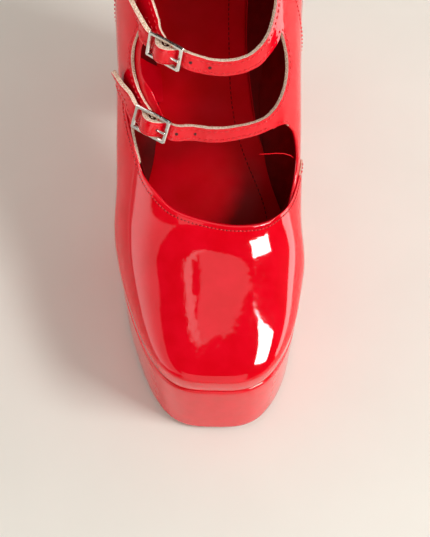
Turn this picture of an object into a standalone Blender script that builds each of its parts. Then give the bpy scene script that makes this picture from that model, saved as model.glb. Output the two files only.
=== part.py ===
"""A right-foot platform ankle boot with two buckled instep straps.

World frame: metres, +Z up, toe towards -Y, inner (big-toe) side towards +X.
Working frame of the tables below: millimetres, with
  s  forward from the back of the heel,
  x  towards the inner side,
  z  up from the floor.
"""

import math

import bmesh
import bpy
import numpy as np
from mathutils import Matrix, Vector

# ---------------------------------------------------------------- driving sizes
MM = 0.001                 # tables are in millimetres
ORIGIN_X = 0.6             # x of the world origin
ORIGIN_S = 114.5           # s of the world origin

WALL = 2.0                 # upper: leather plus lining
GAP = 0.3                  # clearance between pieces that touch
PLATFORM_EDGE = 1.2        # platform stands proud of the upper
WAIST_BOARD = 3.4          # thickness of the wrapped sole at waist and seat
INSOLE = 4.0               # padded insole
TREAD = 1.6                # rubber sheet under the platform
TOP_PIECE = 6.0            # rubber top piece under the heel
LEAST_TIP = 0.65           # share of its half width that an inset end may lose
TREAD_GROOVE = 0.8         # depth and half the width of the tread's grooves
TREAD_GROOVES = 9
TREAD_GROOVE_FIRST = 134.0  # s of the first and the last groove
TREAD_GROOVE_LAST = 216.0
TREAD_INSET = 0.4          # tread inside the upper's outline
PLATFORM_BACK = 101.0      # s where the platform's back wall starts
PLATFORM_BACK_RUN = 24.0   # length over which that wall comes down
TOE_SPRING_START = 196.0   # s where the tread leaves the floor
TOE_SPRING = 0.6           # rise of the tread at the toe
TOE_END = 232.0            # s at which that rise is measured
EDGE_RADIUS = 1.1          # rounding of the platform's edges
INSOLE_INSET = 3.8         # insole inside the upper's outer surface

STRAP_WIDTH = 7.0
STRAP_THICK = 2.0
BUCKLE_LENGTH = 17.0       # outside, along the strap
BUCKLE_WIDTH = 11.5        # outside, across the strap
BUCKLE_BAR = 1.7           # width of each bar of the buckle
BUCKLE_THICK = 1.6
PRONG_RADIUS = 0.65

# Height of the seam between upper and sole, along the shoe.
FEATHER = (
    # s, z
    (-10, 119.5), (0, 118), (25, 115), (50, 107.5), (75, 94), (100, 75),
    (122, 57.5), (140, 47.5), (158, 43), (185, 42), (210, 43.8), (232, 46.3),
)

# Sections of the foot, square to s.  The widest level lies `bulge` above the
# feather seam; `lower` is the vertical radius below that level.
FOOT = (
    # s, half width, centre x, crest z, side power, crest power, bulge, lower
    (0, 31.0, 0.0, 150, 2.2, 2.2, 20, 42),
    (40, 34.5, -0.3, 160, 2.2, 2.2, 24, 40),
    (60, 37.3, -0.6, 178, 2.2, 2.2, 29, 38),
    (80, 39.2, -0.9, 178, 2.25, 2.2, 34, 38),
    (100, 40.4, -0.7, 166, 2.3, 2.25, 32, 36),
    (115, 41.2, 0.0, 150, 2.35, 2.3, 29, 34),
    (129, 42.0, 0.3, 131, 2.35, 2.3, 24, 31),
    (142.5, 42.5, 0.2, 111, 2.35, 2.25, 17, 30),
    (157, 43.3, 0.1, 95.5, 2.35, 2.2, 12, 32),
    (170, 42.8, 1.6, 83, 2.4, 2.3, 11, 34),
    (185, 39.9, 2.6, 75.5, 2.5, 2.4, 11, 34),
    (200, 35.9, 3.8, 70.5, 2.6, 2.4, 11, 34),
    (215, 31.6, 4.4, 66.5, 2.6, 2.4, 11, 34),
    (232, 27.5, 4.6, 62.0, 2.6, 2.4, 11, 34),
)
FOOT_POWER = 2.2
LEG_CENTRE = -0.8
HEEL_START = 40.0          # s where the heel begins to close, going back
HEEL_LENGTH = 38.5
TOE_START = 190.0          # s where the square toe begins to close
TOE_LENGTH = 42.0
TOE_POWER = 3.3            # squareness of the toe in plan

# Level sections of the leg.
LEG = (
    # z, back s, front s, half width, power
    (90, 10, 80, 20, 2.3),
    (115, 3, 92, 28, 2.3),
    (135, -1, 98, 34, 2.3),
    (150, -1, 100, 36.5, 2.3),
    (170, 2, 99, 37.5, 2.25),
    (190, 6, 95, 37.3, 2.2),
    (215, 9, 92, 37, 2.15),
    (240, 9, 92, 38, 2.1),
)
BLEND = 9.0                # softness of the join between foot and leg
HEEL_BLEND = 2.0           # softness of the same join behind the heel

# Front profile of the upper, from the toe seam up over the instep.
FRONT = (
    # level, origin s, origin z, direction in degrees above forward
    (0.00, 190, 46.2, 0),
    (0.12, 196, 47, 25),
    (0.22, 190, 48, 60),
    (0.34, 172, 52, 72),
    (0.50, 145, 66, 52),
    (0.66, 118, 95, 36),
    (0.82, 90, 135, 22),
    (1.00, 60, 202, 2),
)
BACK_BOTTOM = 118.0        # height of the heel's back profile, both ends
BACK_TOP = 204.0

# Edge of the throat, seen square to the instep: x, and the distance up the
# instep from the vamp's lowest point.  Listed anticlockwise: the vamp's top
# line, the inner quarter, then the outer quarter with its two tabs.
THROAT = (
    # x, up
    (-8, 3.1), (4, 0.6), (12, -0.4), (18.5, -0.4), (25.3, 0.9), (30.5, 3.6), (34.6, 8.2),
    (37.8, 15.2), (39.0, 25.5), (37.8, 35.0), (35.0, 42.2), (32.9, 46.5), (31.9, 54.0),
    (33.2, 60.0), (33.2, 66.4), (31.7, 74.4), (28.9, 82.4), (26.2, 84.6), (26.7, 90.6),
    (27.4, 97.0), (-22.6, 97.0), (-21.2, 88.5), (-20.6, 82.4),
    (-18.4, 78.7), (-18.4, 71.3), (-22.0, 75.6), (-26.4, 81.0), (-28.6, 81.6),
    (-31.4, 77.6), (-32.8, 70.0), (-31.0, 59.1), (-28.3, 51.0),
    (-24.4, 47.3), (-24.4, 40.0), (-30.6, 43.0), (-33.4, 41.6), (-33.6, 37.0),
    (-31.1, 28.2), (-27.9, 19.0), (-23, 12.5), (-17, 7.0),
)
THROAT_LOW_S = 170.0       # the vamp's lowest point, in the side view
THROAT_LOW_Z = 83.0
INSTEP_SLOPE = 50.0        # degrees
THROAT_DEPTH = 24.0        # how far inwards the throat is cut

# Top line of the collar, seen from the side.
COLLAR = (
    # s, z
    (-14, 198), (0, 197.5), (20, 196.5), (40, 193), (60, 186.5), (75, 179),
    (90, 169), (100, 160.5), (108, 152.5), (113, 147), (118, 142.5),
)
COLLAR_OUTER_SHIFT = 3.0   # the outer quarter's top line runs further forward
COLLAR_WASTE = ((150, 158), (150, 230), (-14, 230))  # rest of what is cut away
UPPER_AROUND = 60          # points in each ring of the upper
UPPER_ROWS = 22            # rings from the seam to the collar

# Middle line of each strap, by angle about an upright axis inside the boot.
# `stand` is the strap's middle above the upper's outer surface, `lean` turns
# the strap's top edge outwards, and negative angles are on the outer side.
# Between its lead and its tail a strap follows BUCKLE_ROUTE.
STRAP_FRONT_AXIS = 100.0   # s of the upright axis
STRAP_FRONT_LEAD = (
    # angle, z, stand, lean, width
    (45.3, 113.0, -1.0, 4, 9.5),
    (38.0, 112.8, -1.0, 8, 7.6),
    (28.0, 112.6, -0.8, 12, 7.0),
    (14.0, 111.9, -0.9, 18, 7.0),
    (0.0, 111.4, -1.0, 24, 7.0),
    (-11.0, 111.8, -0.7, 28, 7.0),
)
STRAP_FRONT_TAIL = (
    (-50.0, 116.0, 2.1, 14, 7.0),
    (-57.0, 117.6, 2.6, 20, 7.0),
    (-64.0, 119.0, 3.1, 24, 6.4),
    (-67.5, 119.6, 3.6, 26, 3.4),
)
STRAP_REAR_AXIS = 90.0
STRAP_REAR_LEAD = (
    (47.6, 142.6, -1.0, 6, 5.6),
    (42.0, 140.2, -0.9, 14, 6.8),
    (31.5, 137.4, -0.4, 20, 7.0),
    (19.0, 135.8, 0.1, 22, 7.0),
    (4.0, 135.8, 1.1, 22, 7.0),
    (-6.5, 136.9, 2.3, 18, 7.0),
)
STRAP_REAR_TAIL = (
    (-47.0, 144.3, 2.9, 24, 7.0),
    (-52.0, 147.0, 3.4, 38, 7.0),
    (-59.0, 150.6, 3.6, 42, 6.4),
    (-63.0, 152.6, 3.8, 42, 3.4),
)
# The strap's way through its buckle, from the bar nearer the middle of the
# shoe: under the first bar, over the middle bar, under the last bar.
BUCKLE_ROUTE = (
    # along, height over the buckle's middle plane
    (8.6, -2.3), (7.2, -2.3), (5.1, -1.3), (4.0, 0.2), (2.9, 1.65),
    (1.6, 2.75), (0.0, 3.2), (-1.6, 2.75), (-2.9, 1.65), (-4.0, 0.2), (-5.1, -1.3),
    (-7.2, -2.35), (-8.9, -2.5),
)

# Where each buckle's middle lies and how it is turned: yaw in its own plane,
# lean of its top rail outwards, pitch of its inner end outwards, in degrees.
BUCKLE_FRONT = (
    # angle, z, stand, yaw, lean, pitch
    -32.1, 112.8, 3.6, -6.0, 6.0, 2.5,
)
BUCKLE_REAR = (
    -28.8, 139.9, 4.8, -9.5, 14.0, 9.0,
)

# The heel's level sections: height, back s, breast s, half width.
HEEL = (
    (TOP_PIECE + GAP, 4.0, 53.0, 25.0),
    (40.0, 2.6, 54.5, 25.6),
    (80.0, 0.6, 57.5, 26.6),
    (112.0, -0.4, 61.0, 27.6),
)

RED_PATENT = ("red_patent", (0.62, 0.004, 0.012, 1.0), 0.12, 0.0)
RED_LINING = ("red_lining", (0.42, 0.008, 0.014, 1.0), 0.55, 0.0)
DARK_RUBBER = ("dark_rubber", (0.10, 0.012, 0.014, 1.0), 0.75, 0.0)
SILVER = ("silver_metal", (0.78, 0.77, 0.74, 1.0), 0.22, 1.0)


# ---------------------------------------------------------------- form of the last
def spline(rows, column):
    """A natural cubic spline through one column of a table."""
    xs = np.array([row[0] for row in rows], float)
    ys = np.array([row[column] for row in rows], float)
    count = len(xs)
    step = np.diff(xs)
    system = np.eye(count)
    right = np.zeros(count)
    for i in range(1, count - 1):
        system[i, i - 1:i + 2] = step[i - 1], 2 * (step[i - 1] + step[i]), step[i]
        right[i] = 6 * ((ys[i + 1] - ys[i]) / step[i] - (ys[i] - ys[i - 1]) / step[i - 1])
    bend = np.linalg.solve(system, right)
    slope = np.diff(ys) / step - step * (2 * bend[:-1] + bend[1:]) / 6
    end_slope = slope[-1] + step[-1] * (bend[-2] + bend[-1]) / 2

    def value(x):
        inside = np.clip(x, xs[0], xs[-1])
        i = np.clip(np.searchsorted(xs, inside, side="right") - 1, 0, count - 2)
        d = inside - xs[i]
        curve = ys[i] + slope[i] * d + bend[i] / 2 * d ** 2
        curve = curve + (bend[i + 1] - bend[i]) / (6 * step[i]) * d ** 3
        before = np.minimum(x - xs[0], 0) * slope[0]
        after = np.maximum(x - xs[-1], 0) * end_slope
        return curve + before + after

    return value


feather = spline(FEATHER, 1)
foot_column = [None] + [spline(FOOT, i) for i in range(1, 8)]
leg_column = [None] + [spline(LEG, i) for i in range(1, 5)]


def foot_field(x, s, z):
    """Below zero inside the foot's form, in rough millimetres."""
    _, width, centre, crest, side, top, bulge, lower = foot_column
    half = np.maximum(width(s), 8)
    widest = feather(s) + bulge(s)
    height = np.maximum(crest(s) - widest, 5)
    sideways = np.abs(x - centre(s)) / half
    toe = np.maximum(s - TOE_START, 0) / TOE_LENGTH
    heel = np.maximum(HEEL_START - s, 0) / HEEL_LENGTH
    across = np.where(
        s > HEEL_START,
        (sideways ** TOE_POWER + toe ** TOE_POWER) ** (1 / TOE_POWER),
        (sideways ** FOOT_POWER + heel ** FOOT_POWER) ** (1 / FOOT_POWER),
    )
    rise = z - widest
    upward = np.where(rise > 0, rise / height, -rise / lower(s))
    reach = (across ** side(s) + upward ** top(s)) ** (1 / FOOT_POWER)
    return (reach - 1) * np.minimum(half, height)


def leg_field(x, s, z):
    """Below zero inside the leg's form, in rough millimetres."""
    _, back, front, width, power = leg_column
    middle = (back(z) + front(z)) / 2
    depth = np.maximum((front(z) - back(z)) / 2, 8)
    half = np.maximum(width(z), 8)
    reach = (np.abs(x - LEG_CENTRE) / half) ** power(z) + (np.abs(s - middle) / depth) ** power(z)
    return (reach ** (1 / power(z)) - 1) * half


def field(point):
    """The upper's outer surface is where this is zero."""
    x, s, z = point[..., 0], point[..., 1], point[..., 2]
    foot = foot_field(x, s, z)
    leg = leg_field(x, s, z)
    least = np.minimum(foot, leg)
    forward = np.clip((s - 15) / 50, 0, 1)
    blend = HEEL_BLEND + (BLEND - HEEL_BLEND) * forward * forward * (3 - 2 * forward)
    return least - blend * np.log(np.exp((least - foot) / blend) + np.exp((least - leg) / blend))


def surface(origin, direction, reach=160.0, steps=80, halvings=36):
    """First point where rays from inside the form leave it."""
    distance = np.linspace(0, reach, steps)
    samples = origin[..., None, :] + direction[..., None, :] * distance[:, None]
    outside = field(samples) > 0
    index = np.where(outside.any(-1), outside.argmax(-1), steps - 1)
    far = distance[index]
    near = distance[np.maximum(index - 1, 0)]
    near = np.where(index == 0, 0.0, near)
    far = np.where(index == 0, 0.0, far)
    for _ in range(halvings):
        middle = (near + far) / 2
        out = field(origin + direction * middle[..., None]) > 0
        far = np.where(out, middle, far)
        near = np.where(out, near, middle)
    return origin + direction * ((near + far) / 2)[..., None]


def normal(point, step=0.05):
    """Unit vector out of the form."""
    out = np.empty(point.shape)
    for axis in range(3):
        shift = np.zeros(3)
        shift[axis] = step
        out[..., axis] = field(point + shift) - field(point - shift)
    return out / np.linalg.norm(out, axis=-1, keepdims=True)


def half_width(s, z, side):
    """x of the form's surface at a place in the side view; side is +1 or -1."""
    centre = foot_column[2](s)
    origin = np.stack([centre, s, z], -1)
    direction = np.zeros(origin.shape)
    direction[..., 0] = side
    return surface(origin, direction, 70.0)[..., 0]


def front_profile(level):
    """Points (s, z) of the upper's front middle line."""
    origin_s, origin_z, angle = (spline(FRONT, i)(level) for i in (1, 2, 3))
    angle = np.radians(angle)
    origin = np.stack([foot_column[2](origin_s), origin_s, origin_z], -1)
    direction = np.stack([0 * angle, np.cos(angle), np.sin(angle)], -1)
    return surface(origin, direction)[..., 1:]


def back_profile(level):
    """Points (s, z) of the heel's back line."""
    z = BACK_BOTTOM + (BACK_TOP - BACK_BOTTOM) * level
    origin = np.stack([0 * z, 40 + 0 * z, z], -1)
    direction = np.zeros(origin.shape)
    direction[..., 1] = -1
    return surface(origin, direction)[..., 1:]


def upper_rings(levels, around):
    """Rings of the upper's outer surface, from the feather seam to the collar."""
    front = front_profile(levels)[:, None, :]
    back = back_profile(levels)[:, None, :]
    turn = np.linspace(0, 2 * math.pi, around, endpoint=False)
    share = ((1 - np.cos(turn)) / 2)[None, :, None]
    line = back + (front - back) * share
    s = line[..., 0]
    rise_back = (back[..., 1] - feather(back[..., 0])) * (levels[:, None] > 0)
    rise_front = (front[..., 1] - feather(front[..., 0])) * (levels[:, None] > 0)
    along_seam = feather(s) + rise_back + (rise_front - rise_back) * share[..., 0]
    straight = np.clip(levels / 0.4, 0, 1)[:, None]
    straight = straight * straight * (3 - 2 * straight)
    z = along_seam + (line[..., 1] - along_seam) * straight
    inner = half_width(s, z, 1.0)
    outer = half_width(s, z, -1.0)
    x = np.where(turn < math.pi, inner, outer)
    return np.stack([x, s, z], -1)


# ---------------------------------------------------------------- Blender helpers
def world(point):
    """A table point as a world position in metres."""
    x, s, z = point
    return Vector(((x - ORIGIN_X) * MM, (ORIGIN_S - s) * MM, z * MM))


def material(spec):
    """The Principled material of a (name, colour, roughness, metallic) row."""
    name, colour, roughness, metallic = spec
    made = bpy.data.materials.get(name)
    if made:
        return made
    made = bpy.data.materials.new(name)
    made.use_nodes = True
    shader = made.node_tree.nodes["Principled BSDF"]
    shader.inputs["Base Color"].default_value = colour
    shader.inputs["Roughness"].default_value = roughness
    shader.inputs["Metallic"].default_value = metallic
    made.diffuse_color = colour
    return made


def add_object(name, mesh, collection, spec=None):
    """Link a mesh as a named object."""
    made = bpy.data.objects.new(name, mesh)
    collection.objects.link(made)
    if spec:
        mesh.materials.append(material(spec))
    return made


def mesh_from(name, points, faces):
    """A mesh from table points and face rows, with its faces turned outwards."""
    mesh = bpy.data.meshes.new(name)
    mesh.from_pydata([world(p) for p in points], [], faces)
    work = bmesh.new()
    work.from_mesh(mesh)
    bmesh.ops.recalc_face_normals(work, faces=work.faces)
    work.to_mesh(mesh)
    work.free()
    return mesh


def shade(made, angle=35.0):
    """Smooth shading that keeps the sharp edges."""
    made.data.shade_smooth()
    made.data.set_sharp_from_angle(angle=math.radians(angle))


def loft(name, sections):
    """A closed loft through sections with one count of points each."""
    count = len(sections[0])
    points = [p for section in sections for p in section]
    faces = [tuple(range(count))[::-1]]
    for i in range(len(sections) - 1):
        for j in range(count):
            k = (j + 1) % count
            a = i * count
            b = a + count
            faces.append((a + j, a + k, b + k, b + j))
    faces.append(tuple(range(len(points) - count, len(points))))
    return mesh_from(name, points, faces)


def apply_modifiers(made):
    """Replace an object's mesh by its evaluated mesh."""
    graph = bpy.context.evaluated_depsgraph_get()
    result = bpy.data.meshes.new_from_object(made.evaluated_get(graph))
    made.modifiers.clear()
    made.data = result


def prism(name, outline, low, high, to_point, collection):
    """A closed cutter: an outline swept from low to high along one axis."""
    sections = [[to_point(a, b, depth) for a, b in outline] for depth in (low, high)]
    made = add_object(name, loft(name, sections), collection)
    made.hide_render = True
    made.display_type = "WIRE"
    return made


def cut(made, cutter):
    """Subtract a cutter from an object."""
    difference = made.modifiers.new("cut_" + cutter.name, "BOOLEAN")
    difference.operation = "DIFFERENCE"
    difference.solver = "EXACT"
    difference.object = cutter


# ---------------------------------------------------------------- sole pieces
def seam_half_width(s, side):
    """x of the upper's outer surface at the feather seam."""
    return half_width(s, feather(s), side)


def seam_ends():
    """s of the seam's back and toe ends."""
    back = back_profile(np.array([0.0]))[0, 0]
    toe = front_profile(np.array([0.0]))[0, 0]
    return back, toe


def stations(start, end, count, first=0.0, last=math.pi):
    """Positions from start to end, closer together at rounded ends."""
    turn = np.linspace(first, last, count)
    share = (np.cos(first) - np.cos(turn)) / (np.cos(first) - np.cos(last))
    return start + (end - start) * share


def slab(name, along, edge, top, bottom):
    """A closed loft whose outline follows the seam, `edge` wider on every side."""
    back, toe = seam_ends()
    middle = (back + toe) / 2
    scale = (toe - back + 2 * edge) / (toe - back)
    sections = []
    for s in along:
        seam_s = np.array([middle + (s - middle) / scale])
        inner = float(seam_half_width(seam_s, 1.0)[0])
        outer = float(seam_half_width(seam_s, -1.0)[0])
        widening = max(edge, -LEAST_TIP * (inner - outer) / 2)
        inner += widening
        outer -= widening
        sections.append([
            (outer, s, bottom(s)), (inner, s, bottom(s)),
            (inner, s, top(s)), (outer, s, top(s)),
        ])
    return loft(name, sections)


def tread_bottom(s):
    """Underside of the tread: flat, with a little spring at the toe."""
    rise = max(s - TOE_SPRING_START, 0) / (TOE_END - TOE_SPRING_START)
    return TOE_SPRING * rise * rise


def platform_bottom(s):
    """Underside of the wrapped sole: seat and waist, back wall, then flat."""
    waist = float(feather(s)) - WAIST_BOARD
    flat = tread_bottom(s) + TREAD + GAP
    down = min(max((s - PLATFORM_BACK) / PLATFORM_BACK_RUN, 0), 1)
    down = down * down * (3 - 2 * down)
    return waist + (flat - waist) * down


def add_platform(collection):
    """The wrapped sole: heel seat, waist and the tall forefoot platform."""
    back, toe = seam_ends()
    rear = stations(back - PLATFORM_EDGE, PLATFORM_BACK, 26, 0.25, 2.4)
    wall = np.linspace(PLATFORM_BACK, PLATFORM_BACK + PLATFORM_BACK_RUN, 9)[1:]
    fore = stations(wall[-1], toe + PLATFORM_EDGE, 20, 0.8, math.pi - 0.14)[1:]
    along = [float(s) for s in np.concatenate([rear, wall, fore])]

    def top(s):
        return float(feather(s)) - GAP

    mesh = slab("platform", along, PLATFORM_EDGE, top, platform_bottom)
    made = add_object("platform", mesh, collection, RED_PATENT)
    soften = made.modifiers.new("rounded_edges", "BEVEL")
    soften.width = EDGE_RADIUS * MM
    soften.segments = 2
    soften.limit_method = "ANGLE"
    soften.angle_limit = math.radians(50)
    apply_modifiers(made)
    shade(made)
    return made


def add_outsole(collection, cutters):
    """The tread sheet under the platform, with its cross grooves."""
    toe = seam_ends()[1]
    start = PLATFORM_BACK + PLATFORM_BACK_RUN + 2 * TREAD_GROOVE
    along = [float(s) for s in stations(start, toe - 0.6, 26, 0.9, math.pi - 0.16)]

    def top(s):
        return tread_bottom(s) + TREAD

    mesh = slab("outsole", along, -TREAD_INSET, top, tread_bottom)
    made = add_object("outsole", mesh, collection, DARK_RUBBER)
    for i, s in enumerate(np.linspace(TREAD_GROOVE_FIRST, TREAD_GROOVE_LAST, TREAD_GROOVES)):
        low = tread_bottom(s) - 1
        high = tread_bottom(s) + TREAD_GROOVE
        outline = [(s - TREAD_GROOVE, low), (s + TREAD_GROOVE, low),
                   (s + TREAD_GROOVE * 0.7, high), (s - TREAD_GROOVE * 0.7, high)]
        groove = prism(f"groove_{i + 1}", outline, -60, 60, lambda a, b, d: (d, a, b), cutters)
        cut(made, groove)
    apply_modifiers(made)
    shade(made)
    return made


def heel_outline(back, breast, half):
    """One level section of the heel: round at the back, flat at the breast."""
    run = breast - back
    turns = np.linspace(0.22, math.pi / 2, 9)
    side = [(half * math.sin(t) ** 0.8, back + run * 0.62 * (1 - math.cos(t))) for t in turns]
    side.append((half * 0.97, breast))
    return side + [(-x, s) for x, s in reversed(side)]


def add_heel(collection):
    """The tall block heel and its rubber top piece."""
    sections = []
    for z, back, breast, half in HEEL:
        outline = heel_outline(back, breast, half)
        if z == HEEL[-1][0]:
            sections.append([(x, s, float(feather(s)) - WAIST_BOARD - 1.4 * GAP) for x, s in outline])
        else:
            sections.append([(x, s, z) for x, s in outline])
    heel = add_object("heel_block", heel_loft(sections), collection, RED_PATENT)
    shade(heel)
    outline = heel_outline(*HEEL[0][1:])
    sections = [[(x, s, z) for x, s in outline] for z in (0.0, TOP_PIECE)]
    top_piece = add_object("heel_tip", loft("heel_tip", sections), collection, DARK_RUBBER)
    shade(top_piece)
    return heel, top_piece


def heel_loft(sections):
    """A loft whose curved top is closed by strips across the heel."""
    count = len(sections[0])
    points = [p for section in sections for p in section]
    faces = [tuple(range(count))]
    for i in range(len(sections) - 1):
        for j in range(count):
            k = (j + 1) % count
            a = i * count
            b = a + count
            faces.append((a + j, a + k, b + k, b + j))
    top = (len(sections) - 1) * count
    for j in range(count // 2 - 1):
        k = count - 1 - j
        faces.append((top + j, top + j + 1, top + k - 1, top + k))
    return mesh_from("heel_block", points, faces)


def add_insole(collection):
    """The padded insole that closes the upper underneath."""
    back, toe = seam_ends()
    ends = back + INSOLE_INSET, toe - INSOLE_INSET
    along = [float(s) for s in stations(*ends, 34, 0.2, math.pi - 0.2)]

    def top(s):
        return float(feather(s)) + INSOLE

    def bottom(s):
        return float(feather(s))

    mesh = slab("insole", along, -INSOLE_INSET, top, bottom)
    made = add_object("insole", mesh, collection, RED_LINING)
    shade(made)
    return made


# ---------------------------------------------------------------- upper
def throat_point(x, up, depth):
    """A point of the throat's outline at a depth square to the instep."""
    slope = math.radians(INSTEP_SLOPE)
    s = THROAT_LOW_S - up * math.cos(slope) + depth * math.sin(slope)
    z = THROAT_LOW_Z + up * math.sin(slope) + depth * math.cos(slope)
    return x, s, z


def add_upper(collection, cutters):
    """The hollow upper: vamp and quarters in one wall, cut open in front."""
    rings = upper_rings(np.linspace(0, 1, UPPER_ROWS), UPPER_AROUND)
    points = [tuple(p) for p in rings.reshape(-1, 3)]
    faces = []
    for i in range(UPPER_ROWS - 1):
        for j in range(UPPER_AROUND):
            k = (j + 1) % UPPER_AROUND
            a = i * UPPER_AROUND
            b = a + UPPER_AROUND
            faces.append((a + j, a + k, b + k, b + j))
    made = add_object("upper", mesh_from("upper", points, faces), collection, RED_PATENT)
    wall = made.modifiers.new("wall", "SOLIDIFY")
    wall.thickness = WALL * MM
    wall.offset = -1
    wall.use_even_offset = True
    throat = prism("throat", THROAT, -THROAT_DEPTH, 60, throat_point, cutters)
    cut(made, throat)
    for name, low, high, shift in (
        ("collar_inner", 0, 80, 0.0),
        ("collar_outer", -80, 0, COLLAR_OUTER_SHIFT),
    ):
        outline = [(s + shift * max(s, 0) / COLLAR[-1][0], z) for s, z in COLLAR]
        outline += COLLAR_WASTE
        cutter = prism(name, outline, low, high, lambda a, b, d: (d, a, b), cutters)
        cut(made, cutter)
    apply_modifiers(made)
    shade(made)
    return made


# ---------------------------------------------------------------- straps and buckles
def around_point(axis_s, angle, z, stand):
    """A point at an angle about the upright axis, `stand` off the upper."""
    turn = np.radians(angle)
    origin = np.array([0.0, axis_s, z])
    direction = np.array([math.sin(turn), math.cos(turn), 0.0])
    point = surface(origin, direction)
    return point + normal(point) * stand


def strap_frames(lead, tail, axis_s, frame, count):
    """Middle line, width direction and width along a strap."""
    centre, frame_along, frame_across, facing = frame
    marks = []
    for rows in (lead, tail):
        if rows is tail:
            marks += [(centre + frame_along * a + facing * h, facing, None, STRAP_WIDTH)
                      for a, h in BUCKLE_ROUTE]
        for angle, z, stand, lean, width in rows:
            foot = around_point(axis_s, angle, z, 0.0)
            marks.append((foot + normal(foot) * stand, normal(foot), lean, width))
    line = np.array([mark[0] for mark in marks])
    tangent = np.gradient(line, axis=0)
    across = []
    for (_, outward, lean, _), forward in zip(marks, tangent):
        if lean is None:
            across.append(frame_across)
            continue
        side = np.cross(outward, forward)
        side *= math.copysign(1 / np.linalg.norm(side), side[2])
        turn = math.radians(lean)
        across.append(side * math.cos(turn) + outward * math.sin(turn))
    length = np.concatenate([[0], np.cumsum(np.linalg.norm(np.diff(line, axis=0), axis=1))])
    table = [(d, *p, *v, mark[3]) for d, p, v, mark in zip(length, line, across, marks)]
    places = np.interp(np.linspace(0, len(marks) - 1, count), np.arange(len(marks)), length)
    columns = [spline(table, i)(places) for i in range(1, 8)]
    smooth = np.stack(columns[:3], -1)
    direction = np.stack(columns[3:6], -1)
    forward = np.gradient(smooth, axis=0)
    forward /= np.linalg.norm(forward, axis=1, keepdims=True)
    direction -= forward * (forward * direction).sum(1, keepdims=True)
    direction /= np.linalg.norm(direction, axis=1, keepdims=True)
    return smooth, direction, columns[6]


def add_strap(name, lead, tail, axis_s, frame, collection):
    """A strap as a ribbon given its leather's thickness."""
    line, across, width = strap_frames(lead, tail, axis_s, frame, 58)
    points = []
    for middle, direction, wide in zip(line, across, width):
        points.append(tuple(middle - direction * wide / 2))
        points.append(tuple(middle + direction * wide / 2))
    faces = [(2 * i, 2 * i + 1, 2 * i + 3, 2 * i + 2) for i in range(len(line) - 1)]
    made = add_object(name, mesh_from(name, points, faces), collection, RED_PATENT)
    leather = made.modifiers.new("leather", "SOLIDIFY")
    leather.thickness = STRAP_THICK * MM
    leather.offset = 0
    leather.use_even_offset = True
    return made


def buckle_frame(spot, axis_s):
    """Centre and axes of a buckle: along the strap, across it, facing out."""
    angle, z, stand, *turns = spot
    yaw, lean, pitch = (math.radians(turn) for turn in turns)
    foot = around_point(axis_s, angle, z, 0.0)
    outward = normal(foot)
    level = np.cross((0.0, 0.0, 1.0), outward)
    level *= math.copysign(1 / np.linalg.norm(level), level[0])
    upward = np.cross(outward, level)
    upward *= np.sign(upward[2])
    along = level * math.cos(yaw) + upward * math.sin(yaw)
    across = upward * math.cos(yaw) - level * math.sin(yaw)
    facing = outward * math.cos(pitch) - along * math.sin(pitch)
    along = along * math.cos(pitch) + outward * math.sin(pitch)
    tilted = across * math.cos(lean) + facing * math.sin(lean)
    facing = facing * math.cos(lean) - across * math.sin(lean)
    return foot + outward * stand, along, tilted, facing


def place(made, centre, along, across, facing):
    """Move mesh data drawn in a buckle's own millimetres to its place."""
    flip = np.array([1.0, -1.0, 1.0])
    columns = [Vector(v * flip) for v in (along, across, facing)]
    turn = Matrix(columns).transposed()
    made.data.transform(Matrix.Scale(MM, 4))
    made.data.transform(Matrix.Translation(world(centre)) @ turn.to_4x4())
    made.data.update()


def rectangle(curve, length, width, middle, radius):
    """Add a rounded rectangle to a flat curve."""
    corners = []
    for quarter, (sx, sy) in enumerate(((1, 1), (-1, 1), (-1, -1), (1, -1))):
        for step in range(4):
            turn = math.radians(90 * quarter + 30 * step)
            corners.append((middle + sx * (length / 2 - radius) + radius * math.cos(turn),
                            sy * (width / 2 - radius) + radius * math.sin(turn)))
    line = curve.splines.new("POLY")
    line.points.add(len(corners) - 1)
    for point, (a, b) in zip(line.points, corners):
        point.co = (a, b, 0, 1)
    line.use_cyclic_u = True


def curve_mesh(curve, name):
    """A curve's own mesh, with its doubled points merged."""
    holder = bpy.data.objects.new(name, curve)
    bpy.context.scene.collection.objects.link(holder)
    graph = bpy.context.evaluated_depsgraph_get()
    mesh = bpy.data.meshes.new_from_object(holder.evaluated_get(graph))
    bpy.data.objects.remove(holder)
    work = bmesh.new()
    work.from_mesh(mesh)
    bmesh.ops.remove_doubles(work, verts=work.verts, dist=1e-4)
    bmesh.ops.recalc_face_normals(work, faces=work.faces)
    work.to_mesh(mesh)
    work.free()
    return mesh


def add_buckle(name, frame, collection):
    """The three-bar frame of a buckle."""
    curve = bpy.data.curves.new(name, "CURVE")
    curve.dimensions = "2D"
    curve.fill_mode = "BOTH"
    bevel = 0.3
    curve.bevel_depth = bevel
    curve.bevel_resolution = 1
    curve.extrude = BUCKLE_THICK / 2 - bevel
    curve.offset = -bevel
    hole = (BUCKLE_LENGTH - 3 * BUCKLE_BAR) / 2
    rectangle(curve, BUCKLE_LENGTH, BUCKLE_WIDTH, 0, 1.4)
    for side in (-1, 1):
        middle = side * (hole + BUCKLE_BAR) / 2
        rectangle(curve, hole, BUCKLE_WIDTH - 2 * BUCKLE_BAR, middle, 0.5)
    made = add_object(name, curve_mesh(curve, name), collection, SILVER)
    place(made, *frame)
    shade(made)
    return made


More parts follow.
